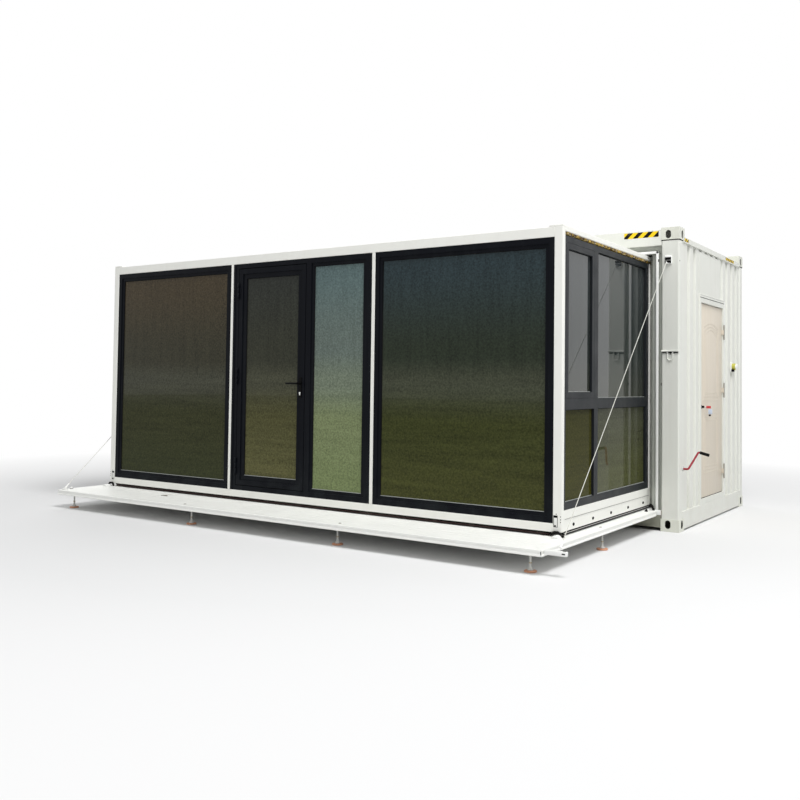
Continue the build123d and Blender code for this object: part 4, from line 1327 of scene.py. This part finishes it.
def makeRoomTrim(s):
    covers, marks, skirts, plates = Shape(), Shape(), Shape(), Shape()
    for low, high in solidBoxes("room_side_rails"):
        face, way = outerFace(low, high)
        ys, proud, bottom = (low.y, high.y), way * s["capProud"], s["capBottom"]
        covers.box((face - proud, face + proud), ys, (bottom, high.z), 0.001, 1)
        xs = (face + proud, face + proud * 1.25)
        # painted shadow line under the cover
        marks.box(xs, ys, [bottom + step for step in s["groove"]], 0.0002, 1, 1)
        for y in atY(*s["heads"]):
            head = headGrowth.grow("axle_head", "mark_dark", **{
                "Start": (face, y, s["headHeight"]), "Step": (0.0, 0.0, 0.0), "Count": 1,
                "Size": s["headSize"], "Segments": 20,
            })
            marks.whole.from_mesh(head)
            bpy.data.meshes.remove(head)
    for low, high in solidBoxes("room_skirt_seals"):
        skirts.box(*zip(low, high), 0.001, 2)
        heights = [low.z + (high.z - low.z) * share for share in (0.15, 0.45, 0.33, 0.62)]
        if high.x - low.x > 1:
            skirts.box((low.x, high.x), (low.y - 0.002, low.y + 0.004), heights[:2], 0.001, 1, 1)
        else:
            face, way = outerFace(low, high)
            skirts.box((face - way * 0.004, face + way * 0.001), (low.y, high.y), heights[2:], 0.0008, 1, 2)
    face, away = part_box("room_posts")[0].y, Vector((0, -1, 0))
    ys, (z0, z1) = (face - 0.0015, face + sunk), s["recessZ"]
    for side in (1, -1):
        x0, x1 = sorted(atX(*s["recessX"], side=side))
        corners = [Vector((x, face, z)) for x, z in ((x0, z0), (x1, z0), (x1, z1), (x0, z1))]
        # the recess's dark rim and the dark bands at its top and lower left: painted shade
        marks.loft(mitred(corners, away, s["recessRim"]), closed=True, smooth=False)
        marks.box((x0, x1), ys, (z1 - 0.014, z1), 0.0005, 1)
        marks.box((x0 + 0.004, x0 + 0.018), ys, (z0, z0 + 0.012), 0.0005, 1)
        plates.box((x0 + 0.008, x1 - 0.004), (face - 0.003, face + sunk), (z0 + 0.016, z1 - 0.018), 0.001, 2)
        for x, z in s["screws"]:
            marks.turned(Vector((*atX(x, side=side), face + 0.0005, z)), away, s["screw"], 12)
    covers.finish("side_rail_covers", "room_white", "room", "room_white")
    skirts.standFor("room_skirt_seals", "room_skirts", "seal_rubber seal_brown seal_grey")
    marks.finish("room_marks", "mark_dark seal_grey", "room")
    plates.finish("post_latches", "plate_white", "room")


makeRoomTrim(roomSettings)

# ragged cut edge of the foam under the side fascias
foamSettings = dict(
    step=0.006,
    waves=((61, 1), (143, 2.1), (311, 0.7)),    # how often each wave comes, and its shift
    face=0.003,
    bottom=(0.012, 0.008),      # height of the lower edge, and how far it strays
)


def makeFoam(s):
    def lump(y, k):
        return sum(math.sin(y * often + k * shift) for often, shift in s["waves"]) / 3

    shape = Shape()
    for low, high in solidBoxes("roof_foam_strips"):
        outer, way = outerFace(low, high)
        inner = low.x if way > 0 else high.x
        count = round((high.y - low.y) / s["step"])
        rings = []
        for i in range(count + 1):
            y = low.y + (high.y - low.y) * i / count
            face = outer - way * s["face"] * (1 - lump(y, 1))
            bottom = low.z + s["bottom"][0] + s["bottom"][1] * lump(y, 4)
            outline = (
                (inner, high.z), (face - way * 0.002, high.z), (face, high.z - 0.006),
                (face + way * 0.002 * lump(y, 9), bottom + 0.006), (face - way * 0.004, bottom),
                (inner, bottom),
            )
            rings.append([Vector((x, y, z)) for x, z in outline])
        shape.loft(rings)
    shape.standFor("roof_foam_strips", "foam_edges")


makeFoam(foamSettings)
print("room trim made")

# end door: leaf with pressed lines, arched above, frame lines, lock, key with its fob and tag
endDoorSettings = dict(
    panels=((0.868, 1.448, 1.24, 2.04, 0.06), (0.872, 1.440, 0.49, 1.10, 0)),
    line=((-0.005, -0.001), (-0.003, 0.00196), (0, 0.0028), (0.003, 0.00196), (0.005, -0.001)),
    nests=(0.0, 0.034, 0.068),
    # the knob's radii and places: the shares are of its reach
    knob=(
        (0.020, 0, 0), (0.020, 0, 0.003), (0.012, 0, 0.005), (0.011, 0.6, 0), (0.013, 0.75, 0), (0.012, 1, 0),
        (0.006, 1, 0.001),
    ),
    key=(0.965, 1.165),
    keyhole=((0.016, 0), (0.016, 0.004), (0.010, 0.006)),
    # fob, tag and ring plate: out, half width, height, then width of the edges, segments, material
    keyParts=(
        ((0.006, 0.052), 0.005, (-0.013, 0.013), 0.004, 3, 1),
        ((0.026, 0.066), 0.003, (-0.072, -0.020), 0.002, 2, 2),
        ((0.030, 0.052), 0.004, (-0.092, -0.075), 0.002, 2, 0),
    ),
    keyRing=((0.046, -0.008), (0.049, -0.016), (0.048, -0.024)),
    barrel=0.0055,
    leaf=0.033,
)


def makeEndDoor(s):
    low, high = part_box("end_door_leaf")
    first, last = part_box("end_door_casing")
    out, up = Vector((1, 0, 0)), Vector((0, 0, 1))
    leaf, lock, trim, lines = Shape(), Shape(), Shape(), Shape()
    leaf.box(*zip(low, high), 0.0015, 2)
    for y0, y1, z0, z1, arch in s["panels"]:
        for inset in s["nests"]:
            a, b, c, d = y0 + inset, y1 - inset, z0 + inset, z1 - inset
            corners = [(a, c), (b, c), (b, d - arch)]
            for k in range(1, 12 if arch else 1):
                corners.append((b + (a - b) * k / 12, d - arch + arch * math.sin(math.pi * k / 12)))
            points = [Vector((high.x, cabinZero.y + y, z)) for y, z in [*corners, (a, d - arch)]]
            leaf.loft(mitred(points, out, s["line"]), closed=True)
    leaf.standFor("end_door_leaf", "end_door_leaf_finished")
    lockLow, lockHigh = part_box("end_door_lock")
    middle, reach = (lockLow + lockHigh) / 2, lockHigh.x - high.x
    foot = Vector((high.x - sunk, middle.y, middle.z))
    lock.turned(foot, out, [(radius, reach * share + step) for radius, share, step in s["knob"]], 24)
    x, y, z = key = Vector((high.x, cabinZero.y + s["key"][0], s["key"][1]))
    lock.turned(key - out * 0.001, out, s["keyhole"], 20, 3)
    for (x0, x1), half, (z0, z1), *more in s["keyParts"]:
        lock.box((x + x0, x + x1), (y - half, y + half), (z + z0, z + z1), *more)
    lock.tube([key + Vector((ahead, 0, rise)) for ahead, rise in s["keyRing"]], 0.0012, 8, 3)
    lock.standFor("end_door_lock", "end_door_lock_finished", "handle_black fob_red tag_blue key_steel")
    # rebated beige frame over the leaf, and the lines round the casing: the dark line under the casing head
    # is painted shadow, the white strip at its rear edge a painted highlight
    leafX, caseX, top = high.x, last.x, high.z + 0.006
    ys, caseY = (low.y - 0.006, high.y + 0.006), (first.y, last.y)
    trim.box((leafX - 0.004, leafX + 0.007), ys, (top + 0.002, top + 0.026), 0.003, 2)
    trim.box((leafX - 0.002, caseX - 0.002), ys, (top + 0.023, top + 0.048), 0.003, 2)
    trim.finish("end_door_head_trim", "door_beige", "container")
    # dark line along the casing head's lower edge: painted shadow
    lines.box((caseX - sunk, caseX + 0.0008), caseY, (top + 0.049, top + 0.055), *thin)
    lines.box((leafX - 0.002, leafX + 0.0008), ys, (low.z - 0.0055, low.z - 0.0005), *thin)
    lines.box((caseX - sunk, caseX + 0.0006), caseY, (top + 0.076, top + 0.079), *thin, 2)
    # a white strip along the casing's rear edge: painted highlight
    highlightY = (last.y - 0.016, last.y + 0.0006)
    lines.box((caseX - sunk, caseX + 0.0012), highlightY, (first.z + 0.01, last.z - 0.01), 0.0004, 1, 1)
    lines.finish("casing_lines", "mark_dark plate_white seal_grey", "container")
    # slim hinges: dark barrels, with leaves painted as what they are fixed to
    pin, r = Vector(joints["end_door_hinge"]["pos_m"]), s["barrel"]
    for node, name, side, face, colour in (
        ("end_door_hinges", "end_door_hinge_leaves", -1, leafX, "door_beige"),
        ("casing_hinges", "casing_hinge_leaves", 1, caseX, "container_white"),
    ):
        shape = Shape()
        for a, b in solidBoxes(node):
            tall, zs = b.z - a.z, (a.z + 0.001, b.z - 0.001)
            if side > 0:
                ys = (pin.y + r + 0.001, pin.y + s["leaf"])
                shape.box((face - sunk, face + 0.0025), ys, zs, 0.0008, 1)
            ys = [pin.y + side * (r + step) for step in (-0.0015, 0.0015)]
            shape.box((face - sunk, pin.x), ys, zs, 0.0006, 1)
            barrel = [(r * 0.8, 0), (r, 0.001), (r, tall - 0.001), (r * 0.8, tall)]
            shape.turned(Vector((pin.x, pin.y, a.z)), up, barrel, 16, 1)
        shape.standFor(node, name, colour + " hinge_steel")


makeEndDoor(endDoorSettings)

# a capped supply socket on the end wall, with a dark patch at its lower left: painted shade
socketSettings = dict(
    place=(1.99, 1.548),
    wide=0.085,
    tall=0.110,
    lid=((0.0391, 0), (0.0391, 0.032), (0.034, 0.036)),
    cap=((0.0306, 0.034), (0.0306, 0.050), (0.017, 0.053)),
)


def makeSocket(s):
    shape = Shape()
    x, y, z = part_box("door_wall_rear")[1].x, *atY(s["place"][0]), s["place"][1]
    far, top = y + s["wide"], z + s["tall"]
    shape.box((x - 0.036, x + 0.002), (y, far), (z, top), 0.005, 3)
    middle = Vector((x + 0.001, (y + far) / 2, (z + top) / 2))
    shape.turned(middle, (1, 0, 0), s["lid"], 28, 1)
    shape.turned(middle, (1, 0, 0), s["cap"], 28)
    # dark patch at the socket's lower left: painted shade
    shape.box((x, x + 0.030), (y - 0.004, y + 0.020), (z, z + 0.026), 0.004, 2, 2)
    shape.box((x + 0.02, x + 0.05), (far - 0.016, far + 0.002), (z + 0.03, top - 0.02), 0.004, 2)
    shape.finish("supply_socket", "plate_white socket_green mark_dark", "container")


makeSocket(socketSettings)

# dark dots in the opening's recess, on its ridge and on the posts' outer sides
dotSettings = dict(
    recessX=(2.832, 2.844),
    recessY=(0.042, 0.046),
    recessZ=(1.381, 1.407),
    ridgeX=(2.8165, 2.8245),
    ridgeY=(0.017, 0.029),
    ridgeZ=(2.572, 2.596),
    post=(3.025, 0.020, 2.570),
    postHead=((0.006, -0.001), (0.006, 0.001), (0.003, 0.002)),
)


def makeDots(s):
    shape = Shape()
    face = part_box("opening_head")[0].y
    x, y, z = s["post"]
    for side in (1, -1):
        ys = [face + step for step in s["recessY"]]
        shape.box(atX(*s["recessX"], side=side), ys, s["recessZ"], 0.003, 2)
        shape.box(atX(*s["ridgeX"], side=side), atY(*s["ridgeY"]), s["ridgeZ"], 0.002, 2)
        shape.turned(at(side * x, y, z), (side, 0, 0), s["postHead"], 16)
    shape.finish("post_marks", "mark_dark", "container")


makeDots(dotSettings)

# crank: one bent wire with a ridged sleeve, whose places are shares of the handle's length
crankSettings = dict(
    wire=0.0095,
    start=(0.0023, 0, 0),
    elbow=3.079,
    rise=(0.060, 0.130, 0.157),
    handle=(0.100, 0, -0.026),
    held=0.14,
    bend=0.0143,
    sleeveStart=((0.0105, 0.12), (0.0145, 0.14)),
    ridge=((0.015, 0.18), (0.0138, 0.225)),
    ridges=9,
    ridgeSpan=0.74,
    sleeveEnd=((0.015, 0.95), (0.013, 0.99), (0.005, 1)),
)


def makeCrank(s):
    pivot, handle = Vector(joints["crank_turn"]["pos_m"]), Vector(s["handle"])
    elbow = Vector((*atX(s["elbow"]), pivot.y, pivot.z))
    top = elbow + Vector(s["rise"])
    path = [pivot + Vector(s["start"]), elbow, top, top + handle * s["held"]]
    arm, sleeve = Shape(), Shape()
    arm.tube(rounded(path, s["bend"]), s["wire"], 16)
    arm.standFor("crank_arm", "crank_arm_finished")
    profile = [*s["sleeveStart"]]
    for k in range(s["ridges"]):
        profile += [(radius, share + s["ridgeSpan"] * k / s["ridges"]) for radius, share in s["ridge"]]
    profile += s["sleeveEnd"]
    sleeve.turned(top, handle, [(radius, share * handle.length) for radius, share in profile], 24)
    sleeve.standFor("crank_grip", "crank_grip_finished")


makeCrank(crankSettings)

# the front door's key cylinder
cylinderSettings = dict(
    height=1.268,
    round=((0.0085, 0), (0.0085, 0.006), (0.006, 0.007)),
    half=0.0045,
    tail=0.022,
)


def makeCylinder(s):
    low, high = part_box("front_door_lock_plates")
    middle, face, z, half = (low.x + high.x) / 2, low.y, s["height"], s["half"]
    shape = Shape()
    shape.turned(Vector((middle, face + sunk, z)), (0, -1, 0), s["round"], 20)
    shape.box((middle - half, middle + half), (face - 0.005, face + sunk), (z - s["tail"], z), 0.001, 2)
    shape.finish("front_door_key_cylinder", "key_steel", "front_door", "galvanised")


makeCylinder(cylinderSettings)
print("doors and fittings made")

# floor, which fades to plain white away from the cabin
floorSettings = dict(half=60.0, colour=(0.74, 0.74, 0.74), fade=(4.6, 9.0))


def makeFloor(s):
    mesh = bpy.data.meshes.new("floor")
    h = s["half"]
    mesh.from_pydata([(-h, -h, 0), (h, -h, 0), (h, h, 0), (-h, h, 0)], [], [(0, 1, 2, 3)])
    g = Graph("studio_floor")
    g.set(Base_Color=(*s["colour"], 1), Roughness=0.9)
    white = g.node("ShaderNodeEmission", {"Color": (1, 1, 1, 1), "Strength": 1.0}).outputs[0]
    seen = g.node("ShaderNodeLightPath").outputs["Is Camera Ray"]
    far = g.math("SUBTRACT", 1.0, g.near((0, 0, 0), *s["fade"]))
    shaders = {0: g.math("MULTIPLY", seen, far), 1: g.shader.outputs[0], 2: white}
    mixed = g.node("ShaderNodeMixShader", shaders).outputs[0]
    g.link(mixed, g.tree.nodes["Material Output"].inputs["Surface"])
    materials["studio_floor"] = g.material
    meshPiece("studio_floor", mesh, "studio_floor", None)


makeFloor(floorSettings)
